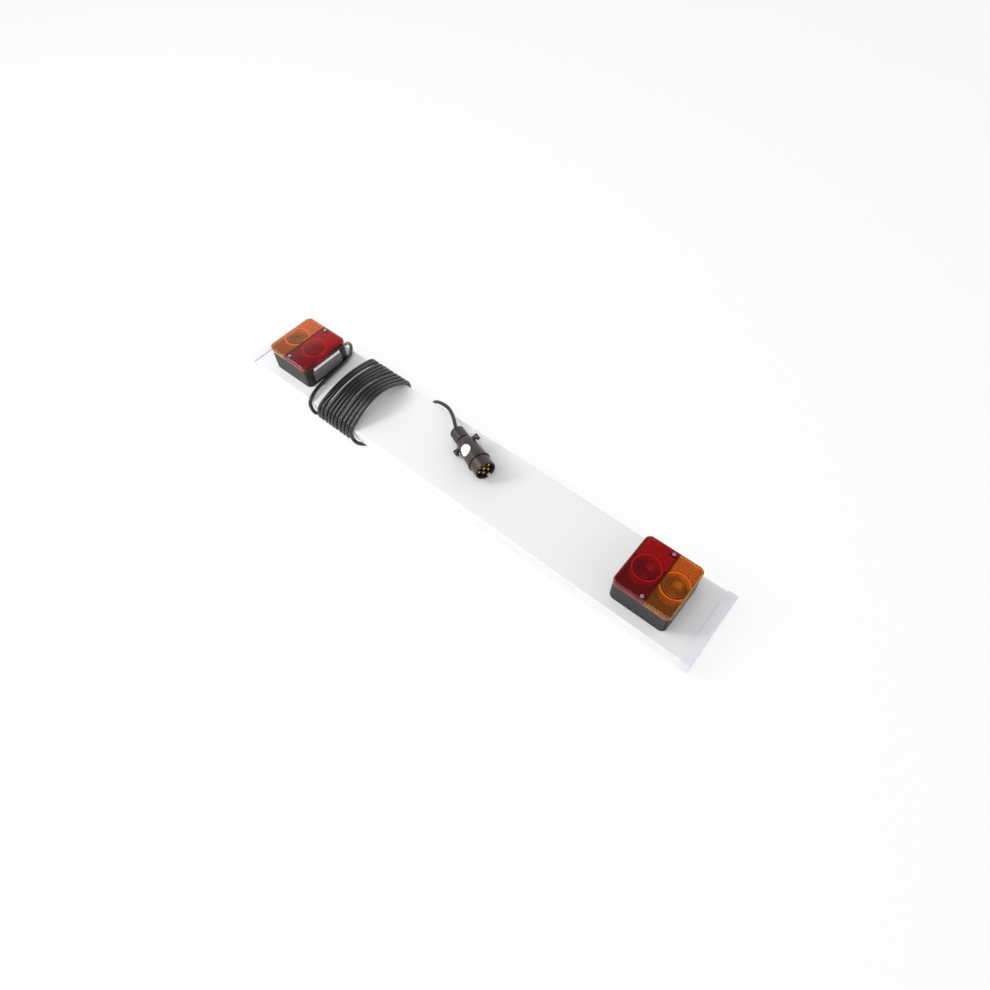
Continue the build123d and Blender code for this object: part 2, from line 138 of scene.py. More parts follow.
@dataclass(frozen=True)
class Finish:
    """A surface with a slow drift of tone, a fine grain, an uneven gloss and, where a mesh marks it, painted
    shade.

    Attributes:
        name: the real material and how its surface was made.
        tone: its main colour, sRGB hex.
        drift: the colour that its tone drifts towards, sRGB hex.
        drift_size: size of the drift's patches, mm.
        roughness: lowest roughness.
        gloss_spread: how much rougher the dullest patches are.
        grain_size: size of the surface's grain, mm.
        grain_depth: height of the grain, mm.
        stretch: how the grain is squeezed along X, Y and Z; small values draw it out.
        metallic: 1 for a bare metal.
        ior: refractive index; a metal keeps the default.
        transmission: share of the light that passes through.
        coat: weight of a clear gloss on top.
        deep: painted shade, the colour painted where the mesh's shade attribute is 1, sRGB hex; empty for
            none.
    """

    name: str
    tone: str
    drift: str
    drift_size: float = 45.0
    roughness: float = 0.4
    gloss_spread: float = 0.1
    grain_size: float = 0.8
    grain_depth: float = 0.03
    stretch: Point = (1.0, 1.0, 1.0)
    metallic: float = 0.0
    ior: float = 1.5
    transmission: float = 0.0
    coat: float = 0.0
    deep: str = ""

    def build(self) -> bpy.types.Material:
        """Make the material.

        Returns:
            The material, ready to be put on a piece.
        """
        material = empty_material(self.name)
        tree = material.node_tree
        place = add_node(tree, "ShaderNodeTexCoord").outputs["Object"]
        drawn = add_node(tree, "ShaderNodeMapping", {"Vector": place, "Scale": self.stretch}).outputs[0]
        patches = add_node(tree, "ShaderNodeTexNoise",
                           {"Vector": drawn, "Scale": per_metre(self.drift_size), "Detail": 3.0})
        grain = add_node(tree, "ShaderNodeTexNoise",
                         {"Vector": drawn, "Scale": per_metre(self.grain_size), "Detail": 2.0})
        # 0 is the factor, 6 and 7 are the two colours, and output 2 is the mixed colour
        tone = add_node(tree, "ShaderNodeMix",
                        {0: patches.outputs["Fac"], 6: linear(self.tone), 7: linear(self.drift)},
                        data_type="RGBA").outputs[2]
        # painted shade: where the mesh's shade attribute rises, the tone darkens towards the deep colour
        if self.deep:
            shade = add_node(tree, "ShaderNodeAttribute", attribute_name=PAINTED_SHADE).outputs["Fac"]
            tone = add_node(tree, "ShaderNodeMix", {0: shade, 6: tone, 7: linear(self.deep)},
                            data_type="RGBA").outputs[2]
        # most of the noise lies between 0.3 and 0.7
        gloss = add_node(tree, "ShaderNodeMapRange",
                         {"Value": grain.outputs["Fac"], "From Min": 0.3, "From Max": 0.7,
                          "To Min": self.roughness, "To Max": self.roughness + self.gloss_spread})
        bump = add_node(tree, "ShaderNodeBump",
                        {"Height": grain.outputs["Fac"], "Strength": 1.0, "Distance": self.grain_depth * MM})
        surface = add_node(tree, "ShaderNodeBsdfPrincipled",
                           {"Base Color": tone, "Roughness": gloss.outputs[0], "Normal": bump.outputs[0],
                            "Metallic": self.metallic, "IOR": self.ior,
                            "Transmission Weight": self.transmission, "Coat Weight": self.coat})
        add_node(tree, "ShaderNodeOutputMaterial", {"Surface": surface.outputs[0]})
        return material


class Finishes:
    """Every finish of the board, made once."""

    def __init__(self) -> None:
        """Make the materials."""
        # Rigid PVC drawn through a die: a clean white with faint lines along its length
        self.white_pvc = Finish("white_pvc_extruded", "#f1f1f2", "#ececee", drift_size=120, roughness=0.34,
                                gloss_spread=0.1, grain_size=1.6, grain_depth=0.012,
                                stretch=(0.02, 1.0, 1.0), ior=1.53).build()
        # Polypropylene moulded in a fine-eroded tool: a colder white, a little duller
        self.cap_plastic = Finish("pale_polypropylene_moulded", "#eaecf1", "#e3e6ec", drift_size=30,
                                  roughness=0.42, gloss_spread=0.12, grain_size=0.7, grain_depth=0.02).build()
        # Black ABS moulded with a spark-eroded grain: a soft sheen that hides finger marks
        self.housing_plastic = Finish("black_abs_moulded", "#151417", "#100f12", drift_size=18,
                                      roughness=0.42, gloss_spread=0.16, grain_size=0.9, grain_depth=0.05,
                                      ior=1.53).build()
        # Acrylic dyed and moulded: clear and glossy, with a little milk in its dye
        clear = {"drift_size": 22, "roughness": 0.03, "gloss_spread": 0.04, "grain_size": 2.2,
                 "grain_depth": 0.010, "ior": 1.49, "transmission": 0.96}
        # The same in the thick collars and their rings, which glow where light falls in; their inner walls
        # get painted shade, darker towards the foot
        thick = {"drift_size": 9, "roughness": 0.08, "gloss_spread": 0.06, "grain_size": 1.6,
                 "grain_depth": 0.02, "ior": 1.49, "transmission": 0.2}
        # The same where it is prismatic: it scatters the light
        prism = {"drift_size": 9, "roughness": 0.10, "gloss_spread": 0.08, "grain_size": 1.2,
                 "grain_depth": 0.03, "ior": 1.49, "transmission": 0.25}
        self.red_acrylic = Finish("red_acrylic_moulded", "#dc1022", "#cc0b1b", **clear).build()
        # deep tones: painted shade on the collars' inner walls
        self.red_acrylic_collar = Finish("red_acrylic_thick", "#fc3448", "#ec2436", deep="#70101a",
                                         **thick).build()
        self.red_acrylic_prism = Finish("red_acrylic_prismatic", "#d41a2e", "#b01020", **prism).build()
        self.amber_acrylic = Finish("amber_acrylic_moulded", "#f8a82c", "#f09a20", **clear).build()
        self.amber_acrylic_collar = Finish("amber_acrylic_thick", "#ffcc60", "#f8b848", deep="#3c2812",
                                           **thick).build()
        self.amber_acrylic_prism = Finish("amber_acrylic_prismatic", "#d29a3a", "#c08822", **prism).build()
        # Opal polycarbonate of the number-plate light: it spreads the light, so it looks white
        self.clear_plastic = Finish("opal_polycarbonate_moulded", "#fafafa", "#f3f4f6", drift_size=12,
                                    roughness=0.16, gloss_spread=0.1, grain_size=1.0, grain_depth=0.02,
                                    ior=1.58).build()
        # Clear ribbed styrene under it; its smoky grey is painted: the dark chamber behind it, its black
        # walls and painted shade
        self.ribbed_styrene = Finish("smoky_styrene_ribbed", "#7d7a7e", "#69666a", drift_size=7,
                                     roughness=0.2, gloss_spread=0.12, grain_size=0.8, grain_depth=0.02,
                                     ior=1.59).build()
        # EPDM rubber: dull and dead black
        self.seal_rubber = Finish("black_epdm_moulded", "#1d1d1f", "#252527", drift_size=6, roughness=0.72,
                                  gloss_spread=0.15, grain_size=0.5, grain_depth=0.03, ior=1.52).build()
        # Zinc-plated steel: bright, slightly blue, with a passivated mottle
        self.zinc_steel = Finish("zinc_plated_steel", "#cfd2d8", "#b9bdc6", drift_size=2.5, roughness=0.24,
                                 gloss_spread=0.16, grain_size=0.35, grain_depth=0.01, metallic=1.0).build()
        # Soda-lime glass of the bulbs, blown: clear and glossy
        self.bulb_glass = Finish("clear_glass_blown", "#f4f6f5", "#eef2f0", drift_size=8, roughness=0.02,
                                 gloss_spread=0.02, grain_size=3.0, grain_depth=0.01, ior=1.5,
                                 transmission=1.0).build()
        # Natural polyamide of the bulb holders: warm and slightly waxy
        self.holder_plastic = Finish("natural_polyamide_moulded", "#e2dccb", "#d3cbb8", drift_size=8,
                                     roughness=0.4, gloss_spread=0.15, grain_size=0.6, grain_depth=0.03,
                                     ior=1.53).build()
        # Black glass-filled polyamide of the plug: brownish black, fine matt texture
        self.plug_plastic = Finish("black_polyamide_moulded", "#372a28", "#261d1c", drift_size=4,
                                   roughness=0.24, gloss_spread=0.22, grain_size=1.1, grain_depth=0.09,
                                   ior=1.53).build()
        # Free-cutting brass, turned: warm with fine turning marks
        self.pin_brass = Finish("brass_turned", "#f6dca4", "#e8c680", drift_size=2.0, roughness=0.28,
                                gloss_spread=0.14, grain_size=0.3, grain_depth=0.01, metallic=1.0).build()
        # Soft PVC sheath of the cable, extruded: black with a satin sheen that takes a few scuffs
        self.cable_sheath = Finish("black_pvc_sheath", "#080708", "#100e0f", drift_size=14, roughness=0.12,
                                   gloss_spread=0.10, grain_size=1.6, grain_depth=0.012, ior=1.52,
                                   coat=0.4).build()
        # White vinyl of the round label: flat and smooth
        self.label_vinyl = Finish("white_vinyl_smooth", "#f8f8f7", "#f2f2f1", drift_size=5, roughness=0.3,
                                  gloss_spread=0.08, grain_size=0.4, grain_depth=0.008, ior=1.5).build()


# Meshes

def vertices_of(made: dict) -> list[bmesh.types.BMVert]:
    """Vertices in the result of a bmesh operator."""
    return [item for item in made["geom"] if isinstance(item, bmesh.types.BMVert)]


def raise_faces(mesh: bmesh.types.BMesh, faces: list, step: Point) -> list[bmesh.types.BMVert]:
    """Extrude faces along a step and leave nothing of them behind.

    Args:
        mesh: the mesh that they belong to.
        faces: the faces to move.
        step: where their copies go, mm.

    Returns:
        The moved vertices.
    """
    made = bmesh.ops.extrude_face_region(mesh, geom=faces)
    moved = vertices_of(made)
    bmesh.ops.translate(mesh, vec=step, verts=moved)
    bmesh.ops.delete(mesh, geom=[face for face in faces if face.is_valid], context="FACES_ONLY")
    bmesh.ops.delete(mesh, geom=[edge for edge in mesh.edges if not edge.link_faces], context="EDGES")
    return moved


def cut_away(mesh: bmesh.types.BMesh, centre: Point, normal: Point) -> None:
    """Cut a mesh along a plane and drop the side that the plane's normal points to.

    Args:
        mesh: the mesh.
        centre: a point of the plane, mm.
        normal: direction of the side that goes.
    """
    bmesh.ops.bisect_plane(mesh, geom=mesh.verts[:] + mesh.edges[:] + mesh.faces[:],
                           plane_co=centre, plane_no=normal, clear_outer=True)


def fill_holes(mesh: bmesh.types.BMesh) -> None:
    """Close every open rim of a mesh."""
    rims = [edge for edge in mesh.edges if edge.is_boundary]
    bmesh.ops.holes_fill(mesh, edges=rims, sides=0)


def top_face(mesh: bmesh.types.BMesh) -> bmesh.types.BMFace:
    """Highest face of a mesh."""
    return max(mesh.faces, key=lambda face: face.calc_center_median().z)


def round_edges(mesh: bmesh.types.BMesh, edges: list, radius: float, segments: int = 3) -> None:
    """Round edges of a mesh.

    Args:
        mesh: the mesh that they belong to.
        edges: the edges.
        radius: width of the rounding, mm.
        segments: facets of the rounding.
    """
    bmesh.ops.bevel(mesh, geom=edges, offset=radius, offset_type="OFFSET", affect="EDGES",
                    segments=segments, profile=0.5, material=-1)


def spun(outline: Outline, steps: int = 48, close: bool = False) -> bmesh.types.BMesh:
    """Spin an outline once round Z.

    Args:
        outline: pairs of radius and height, mm.
        steps: facets round the axis.
        close: whether the outline's last point joins its first.

    Returns:
        The spun mesh, its normals outwards where it is closed.
    """
    mesh = bmesh.new()
    verts = [mesh.verts.new((radius, 0, height)) for radius, height in outline]
    pairs = list(zip(verts, verts[1:]))
    if close:
        pairs.append((verts[-1], verts[0]))
    edges = [mesh.edges.new(pair) for pair in pairs]
    bmesh.ops.spin(mesh, geom=verts + edges, cent=(0, 0, 0), axis=(0, 0, 1), angle=2 * pi, steps=steps,
                   use_merge=True)
    bmesh.ops.remove_doubles(mesh, verts=mesh.verts[:], dist=MERGE)
    bmesh.ops.recalc_face_normals(mesh, faces=mesh.faces[:])
    return mesh


def block(size: Point, centre: Point, radius: float = 0.0, segments: int = 3) -> bmesh.types.BMesh:
    """Make a box with rounded edges.

    Args:
        size: its length along X, Y and Z, mm.
        centre: its centre, mm.
        radius: rounding of its edges, mm.
        segments: facets of the rounding.

    Returns:
        The box's mesh.
    """
    mesh = bmesh.new()
    bmesh.ops.create_cube(mesh, size=1.0)
    bmesh.ops.scale(mesh, vec=size, verts=mesh.verts[:])
    if radius:
        round_edges(mesh, mesh.edges[:], radius, segments)
    bmesh.ops.translate(mesh, vec=centre, verts=mesh.verts[:])
    return mesh


def join(target: bmesh.types.BMesh, source: bmesh.types.BMesh, place: Matrix | None = None) -> None:
    """Move a mesh into another one.

    Args:
        target: the mesh that grows.
        source: the mesh that is used up.
        place: where it goes, as a transform in millimetres.
    """
    if place is not None:
        bmesh.ops.transform(source, matrix=place, verts=source.verts[:])
    carrier = bpy.data.meshes.new("carrier")
    source.to_mesh(carrier)
    source.free()
    target.from_mesh(carrier)
    bpy.data.meshes.remove(carrier)


def publish(mesh: bmesh.types.BMesh, name: str, material: bpy.types.Material,
            replaced: tuple[str, ...] = (), mirrored: bool = False, sharp: float = 32.0) -> bpy.types.Object:
    """Turn a mesh in millimetres into a finished piece of the board.

    Args:
        mesh: the mesh, which is used up.
        name: the piece's name.
        material: its material.
        replaced: the CAD nodes that it stands for.
        mirrored: whether it is turned to the left-hand side of the board.
        sharp: angle over which an edge stays sharp, degrees.

    Returns:
        The piece.
    """
    bmesh.ops.scale(mesh, vec=(-MM if mirrored else MM, MM, MM), verts=mesh.verts[:])
    if mirrored:
        bmesh.ops.reverse_faces(mesh, faces=mesh.faces[:])
    data = bpy.data.meshes.new(name)
    mesh.to_mesh(data)
    mesh.free()
    data.materials.append(material)
    data.shade_smooth()
    data.set_sharp_from_angle(angle=radians(sharp))
    piece = bpy.data.objects.new(name, data)
    bpy.context.scene.collection.objects.link(piece)
    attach(piece, ROOT)
    if replaced:
        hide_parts(*replaced)
    log.info("%s: %d faces", name, len(data.polygons))
    return piece


# Studio

@dataclass
class Studio:
    """Pale paper floor, soft lamps and the camera.

    Attributes:
        floor_height: the floor, under the lowest turn of the cable, mm.
        floor_size: side of the floor, m.
        azimuth: turn of the camera about Z, degrees.
        elevation: height of the camera over the horizon, degrees.
        roll: turn of the camera about its own axis, degrees.
        distance: from the camera to its target, mm.
        target: the point that it looks at, mm.
        focal: its focal length, mm.
        sensor: width of its sensor, mm.
        clip_start: nearest distance that it shows, m.
        paper_white: how much of the floor's white shows without regard to its light.
        wall_top: sine of the elevation up to which the room's white walls reach.
        ceiling_edge: the same where its dim ceiling starts.
        ceiling: brightness of the ceiling, where the walls have 1.
    """

    floor_height: float = -28.2
    floor_size: float = 14.0
    azimuth: float = 40.6856
    elevation: float = 56.1082
    roll: float = -1.2813
    distance: float = 1122.509
    target: Point = (86.853, -17.576, 0.0)
    focal: float = 24.4527
    sensor: float = 36.0
    clip_start: float = 0.01
    paper_white: float = 0.82
    wall_top: float = 0.58
    ceiling_edge: float = 0.84
    ceiling: float = 0.18

    def build_camera(self) -> bpy.types.Object:
        """Set the camera at the photograph's viewing angle."""
        azimuth, elevation, roll = (radians(value) for value in (self.azimuth, self.elevation, self.roll))
        right = Vector((cos(azimuth), sin(azimuth), 0))
        back = Vector((sin(azimuth) * cos(elevation), -cos(azimuth) * cos(elevation), sin(elevation)))
        up = back.cross(right)
        turned_right = right * cos(roll) + up * sin(roll)
        turned_up = up * cos(roll) - right * sin(roll)
        data = bpy.data.cameras.new("photo_camera")
        data.sensor_width = self.sensor
        data.lens = self.focal
        data.clip_start = self.clip_start
        camera = bpy.data.objects.new("photo_camera", data)
        bpy.context.scene.collection.objects.link(camera)
        place = Matrix((turned_right, turned_up, back)).transposed().to_4x4()
        place.translation = (Vector(self.target) + back * self.distance) * MM
        camera.matrix_world = place
        bpy.context.scene.camera = camera
        return camera

    def seen_directly(self, tree: bpy.types.NodeTree) -> bpy.types.NodeSocket:
        """Socket that is 1 for what the camera, a reflection or a clear piece shows."""
        path = add_node(tree, "ShaderNodeLightPath")
        mirrored = add_node(tree, "ShaderNodeMath",
                            {0: path.outputs["Is Camera Ray"], 1: path.outputs["Is Glossy Ray"]},
                            operation="MAXIMUM")
        return add_node(tree, "ShaderNodeMath",
                        {0: mirrored.outputs[0], 1: path.outputs["Is Transmission Ray"]},
                        operation="MAXIMUM").outputs[0]

    def build_floor(self) -> bpy.types.Object:
        """Lay the floor, a white paper that keeps a soft shadow."""
        mesh = bmesh.new()
        bmesh.ops.create_grid(mesh, x_segments=1, y_segments=1, size=self.floor_size / 2)
        bmesh.ops.translate(mesh, vec=(0, 0, self.floor_height * MM), verts=mesh.verts[:])
        data = bpy.data.meshes.new("studio_floor")
        mesh.to_mesh(data)
        mesh.free()
        material = empty_material("white_studio_paper")
        tree = material.node_tree
        matt = add_node(tree, "ShaderNodeBsdfDiffuse", {"Color": linear("#fafafa")})
        glow = add_node(tree, "ShaderNodeEmission", {"Color": linear("#ffffff"), "Strength": 1.0})
        share = add_node(tree, "ShaderNodeMath", {0: self.seen_directly(tree), 1: self.paper_white},
                         operation="MULTIPLY")
        paper = add_node(tree, "ShaderNodeMixShader",
                         {0: share.outputs[0], 1: matt.outputs[0], 2: glow.outputs[0]})
        add_node(tree, "ShaderNodeOutputMaterial", {"Surface": paper.outputs[0]})
        data.materials.append(material)
        floor = bpy.data.objects.new("studio_floor", data)
        bpy.context.scene.collection.objects.link(floor)
        return floor

    def build_world(self) -> None:
        """Surround the board with white walls under a dim ceiling, which keeps glossy tops deep."""
        world = bpy.data.worlds.new("white_room")
        world.use_nodes = True
        tree = world.node_tree
        tree.nodes.clear()
        direction = add_node(tree, "ShaderNodeTexCoord").outputs["Generated"]
        rise = add_node(tree, "ShaderNodeSeparateXYZ", {"Vector": direction}).outputs["Z"]
        strength = add_node(tree, "ShaderNodeMapRange",
                            {"Value": rise, "From Min": self.wall_top, "From Max": self.ceiling_edge,
                             "To Min": 1.0, "To Max": self.ceiling}, interpolation_type="SMOOTHSTEP")
        room = add_node(tree, "ShaderNodeBackground",
                        {"Color": linear("#ffffff"), "Strength": strength.outputs[0]})
        add_node(tree, "ShaderNodeOutputWorld", {"Surface": room.outputs[0]})
        bpy.context.scene.world = world

    def add_softbox(self, name: str, place: Point, aim: Point, size: float, power: float) -> bpy.types.Object:
        """Hang a square softbox.

        Args:
            name: the lamp's name.
            place: its centre, m.
            aim: the point that it faces, m.
            size: its side, m.
            power: its power, W.

        Returns:
            The lamp.
        """
        data = bpy.data.lights.new(name, "AREA")
        data.shape = "SQUARE"
        data.size = size
        data.energy = power
        lamp = bpy.data.objects.new(name, data)
        bpy.context.scene.collection.objects.link(lamp)
        lamp.location = place
        lamp.rotation_euler = (Vector(aim) - Vector(place)).to_track_quat("-Z", "Y").to_euler()
        lamp.visible_camera = False
        return lamp

    def build(self) -> None:
        """Build the whole studio."""
        self.build_camera()
        self.build_floor()
        self.build_world()
        self.add_softbox("left_softbox", place=(-1.5, -0.8, 1.8), aim=(0.0, 0.0, 0.0), size=1.2, power=16.5)
        self.add_softbox("top_softbox", place=(0.1, -0.5, 2.3), aim=(0.0, 0.0, 0.0), size=1.4, power=12.0)
        self.add_softbox("front_softbox", place=(-1.41, -1.15, 1.2), aim=(-0.24, 0.0, 0.0), size=0.45,
                         power=11.0)
        bpy.context.scene.view_settings.view_transform = "Standard"


# Cable

@dataclass
class WoundCable:
    """The cable: out of the left-hand lamp, once over the board, wound round it, and on to the plug.

    Attributes:
        diameter: of the sheath, mm.
        length: of the whole cable, m; not used.
        start_route: control points up to the first turn, mm.
        far_places: X of each turn at the board's upper edge, mm.
        near_places: X of each turn at the board's lower edge, mm.
        low: height of the cable's axis behind the board, mm.
        crowns: height of the first and the last turn over the board's centre line, mm.
        spans: half width at which the first and the last arch would reach the face, mm.
        far_reach: place of every turn beside the upper edge, from the centre line, mm.
        near_reach: the same beside the lower edge, mm.
        tail_route: control points from the last turn to the plug, mm.
        under_rows: Y of each turn's points behind the board, mm.
        arch_rows: Y of its points over the face, mm.
        board_half: half the board's width, mm.
        side_bulge: how far a turn swells beside the board, mm.
        side_heights: height of its lower and its upper point there, mm.
        shoulder: how far in and how high it bends on to the face, mm.
    """

    diameter: float = 7.0
    length: float = 4.17
    start_route: tuple[Point, ...] = (
        (-378, 24, -4.1), (-378, 24, -15.5), (-379, 44, -24.2), (-386.5, 71, -24.3), (-387, 81, -17),
        (-372, 79.5, -2), (-355.5, 74, 5.8), (-344.5, 65, 6.4), (-333.5, 51, 7.0), (-328.5, 20, 7.4),
        (-323, -24, 7.4), (-317, -56, 6.8), (-310, -75.5, 2.0), (-304.5, -78, -16), (-297, -74.5, -24.3),
    )
    far_places: tuple[float, ...] = (-293, -285, -272, -263, -254, -245, -232.5, -223, -213.5, -204)
    near_places: tuple[float, ...] = (-284.5, -276.5, -265.5, -257, -248.5, -240, -229, -220, -210.5, -201)
    low: float = -24.2
    crowns: tuple[float, float] = (18.8, 32.5)
    spans: tuple[float, float] = (88.0, 74.0)
    far_reach: float = 76.5
    near_reach: float = 75.5
    tail_route: tuple[Point, ...] = (
        (-198, -77.5, -15.5), (-188, -76.5, -22.8), (-176, -68, -24.3), (-152, -42, -24.2),
        (-138, 25, -24.2), (-145, 67, -24.3), (-145, 81, -19), (-132, 79, -6), (-114, 74.5, 4.6),
        (-97, 72.5, 7.5), (-80, 64, 9.5), (-64, 52, 12.8), (-54, 43.5, 13.4), (-45.5, 36.8, 13.72),
    )
    under_rows: tuple[float, ...] = (-50.0, -17.0, 17.0, 50.0)
    arch_rows: tuple[float, ...] = (62.0, 38.0, 13.0, -13.0, -38.0, -62.0)
    board_half: float = 70.0
    side_bulge: float = 2.0
    side_heights: tuple[float, float] = (-17.0, -2.0)
    shoulder: float = 6.0

    def turn_points(self, turn: int) -> list[Point]:
        """Control points of one turn: behind the board to its upper edge, then over its face.

        Args:
            turn: number of the turn from the left.

        Returns:
            The points in millimetres.
        """
        share = turn / (len(self.far_places) - 1)
        before = self.near_places[turn - 1] if turn else self.start_route[-1][0]
        far, near = self.far_places[turn], self.near_places[turn]
        crown = self.crowns[0] + (self.crowns[1] - self.crowns[0]) * share
        span = self.spans[0] + (self.spans[1] - self.spans[0]) * share
        half, bulge, shoulder = self.board_half, self.side_bulge, self.shoulder
        lower, upper = self.side_heights
        points = [(before + (far - before) * (row + half) / (2 * half), row, self.low)
                  for row in self.under_rows]
        points += [(far, self.far_reach - bulge, self.low), (far, self.far_reach + bulge, lower),
                   (far, self.far_reach, upper), (far, self.far_reach - shoulder, shoulder)]
        points += [(far + (near - far) * (half - row) / (2 * half), row, crown * (1 - (row / span) ** 2))
                   for row in self.arch_rows]
        points += [(near, shoulder - self.near_reach, shoulder), (near, -self.near_reach, upper)]
        if turn < len(self.far_places) - 1:
            points += [(near, -self.near_reach - bulge, lower), (near, bulge - self.near_reach, self.low)]
        return points

    def route(self) -> list[Point]:
        """Every control point from the lamp to the plug, mm."""
        points = list(self.start_route)
        for turn in range(len(self.far_places)):
            points += self.turn_points(turn)
        return points + list(self.tail_route)

    def build(self, finishes: Finishes) -> bpy.types.Object:
        """Lay the cable as one smooth curve.

        Args:
            finishes: the board's finishes.

        Returns:
            The cable.
        """
        data = bpy.data.curves.new("cable", "CURVE")
        data.dimensions = "3D"
        data.bevel_depth = self.diameter / 2 * MM
        data.bevel_resolution = 5
        data.resolution_u = 6
        data.use_fill_caps = True
        spline = data.splines.new("NURBS")
        points = self.route()
        spline.points.add(len(points) - 1)
        for point, place in zip(spline.points, points):
            point.co = (*(value * MM for value in place), 1.0)
        spline.order_u = 3
        spline.use_endpoint_u = True
        spline.use_smooth = True
        data.materials.append(finishes.cable_sheath)
        cable = bpy.data.objects.new("cable", data)
        bpy.context.scene.collection.objects.link(cable)
        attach(cable, ROOT)
        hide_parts("cable_start", "cable_coil", "cable_tail")
        log.info("cable: %d control points", len(points))
        return cable


# Lamps

@dataclass
class LensScrew:
    """The pan-head screw that holds a lens, with a cross recess.

    Attributes:
        height: of its head, mm.
        crown: radius of the head's flat top, mm.
        rings: radius and drop from the top of each ring, from the crown to the shank's tip, mm.
        cells: squares along each side of the crown's grid.
        grid_half: half the side of that grid, mm.
        slot_half: half the width of the cross, mm.
        arm: half its length, mm.
        recess: its depth, mm.
        taper: width of its floor, where its mouth has 1.
    """

    height: float = 2.4
    crown: float = 2.4
    rings: Outline = ((2.8, -0.5), (3.1, -1.1), (3.1, -2.4), (2.0, -2.4), (2.0, -22.0))
    cells: int = 7
    grid_half: float = 2.3
    slot_half: float = 0.3
    arm: float = 1.7
    recess: float = 1.1
    taper: float = 0.72

    def in_cross(self, face: bmesh.types.BMFace) -> bool:
        """Whether a square of the crown's grid belongs to the cross."""
        middle = face.calc_center_median()
        across, along = sorted((abs(middle.x), abs(middle.y)))
        return across < self.slot_half and along < self.arm

    def model(self) -> bmesh.types.BMesh:
        """Model the screw with its seat at the origin."""
        mesh = bmesh.new()
        bmesh.ops.create_grid(mesh, x_segments=self.cells, y_segments=self.cells, size=self.grid_half)
        cross = [face for face in mesh.faces if self.in_cross(face)]
        rim = [edge for edge in mesh.edges if edge.is_boundary]
        for vert in {vert for edge in rim for vert in edge.verts}:
            vert.co = vert.co.normalized() * self.crown
        for radius, drop in self.rings:
            made = bmesh.ops.extrude_edge_only(mesh, edges=rim)
            for vert in vertices_of(made):
                arm = Vector((vert.co.x, vert.co.y, 0)).normalized() * radius
                vert.co = (arm.x, arm.y, drop)
            rim = [item for item in made["geom"] if isinstance(item, bmesh.types.BMEdge) and item.is_boundary]
        bmesh.ops.holes_fill(mesh, edges=rim, sides=0)
        sunk = raise_faces(mesh, cross, (0, 0, -self.recess))
        bmesh.ops.scale(mesh, vec=(self.taper, self.taper, 1), verts=sunk)
        bmesh.ops.recalc_face_normals(mesh, faces=mesh.faces[:])
        bmesh.ops.translate(mesh, vec=(0, 0, self.height), verts=mesh.verts[:])
        return mesh


@dataclass
class Bulb:
    """A bulb in its holder, lying along the board's Y; its outlines give radius and place on its axis.

    Attributes:
        row: Y of the widest place of the glass, mm.
        height: height of the bulb's axis, mm.
        glass: outline of the glass, outside and then inside, mm.
        cap: outline of the metal cap, mm.
        holder: outline of the cup round the cap, mm.
        foot_size: of the block that carries the cup, mm.
        foot_reach: centre of that block from the widest place of the glass, mm.
        foot_height: height of the same, mm.
        foot_ease: rounding of the block, mm.
        facets: of each outline round the axis.
    """

    row: float = -6.0
    height: float = 18.0
    glass: Outline = (
        (0, -12.5), (2.2, -12.4), (5.2, -11.6), (8.8, -9.0), (11.3, -5.2), (12.5, 0), (12.0, 4.2),
        (10.5, 8.0), (8.6, 12.2), (7.5, 16.0), (7.1, 16.6), (6.5, 16.6), (6.8, 15.8), (7.9, 12.0),
        (9.8, 7.8), (11.3, 4.1), (11.8, 0), (10.6, -4.9), (8.2, -8.5), (4.8, -11.0), (2.0, -11.7), (0, -11.8),
    )
    cap: Outline = ((0, 16.7), (7.2, 16.7), (7.5, 17.2), (7.5, 29.4), (7.0, 30.0), (0, 30.0))
    holder: Outline = ((7.7, 18.0), (8.8, 18.0), (9.2, 18.4), (9.2, 31.0), (8.7, 31.5), (0, 31.5),
                       (0, 30.1), (7.7, 30.1))
    foot_size: Point = (9.0, 8.0, 14.0)
    foot_reach: float = 24.0
    foot_height: float = 10.0
    foot_ease: float = 0.6
    facets: int = 32

    def along(self, x: float) -> Matrix:
        """Transform that lays a spun shape along the bulb's axis.

        Args:
            x: place of the bulb along the board, mm.

        Returns:
            The transform, from the shape's Z to the board's Y.
        """
        return Matrix.Translation((x, self.row, self.height)) @ Matrix.Rotation(-pi / 2, 4, "X")

    def foot(self, x: float) -> bmesh.types.BMesh:
        """Model the block that carries the holder's cup.

        Args:
            x: place of the bulb along the board, mm.

        Returns:
            The block, in its place.
        """
        return block(self.foot_size, (x, self.row + self.foot_reach, self.foot_height), self.foot_ease)


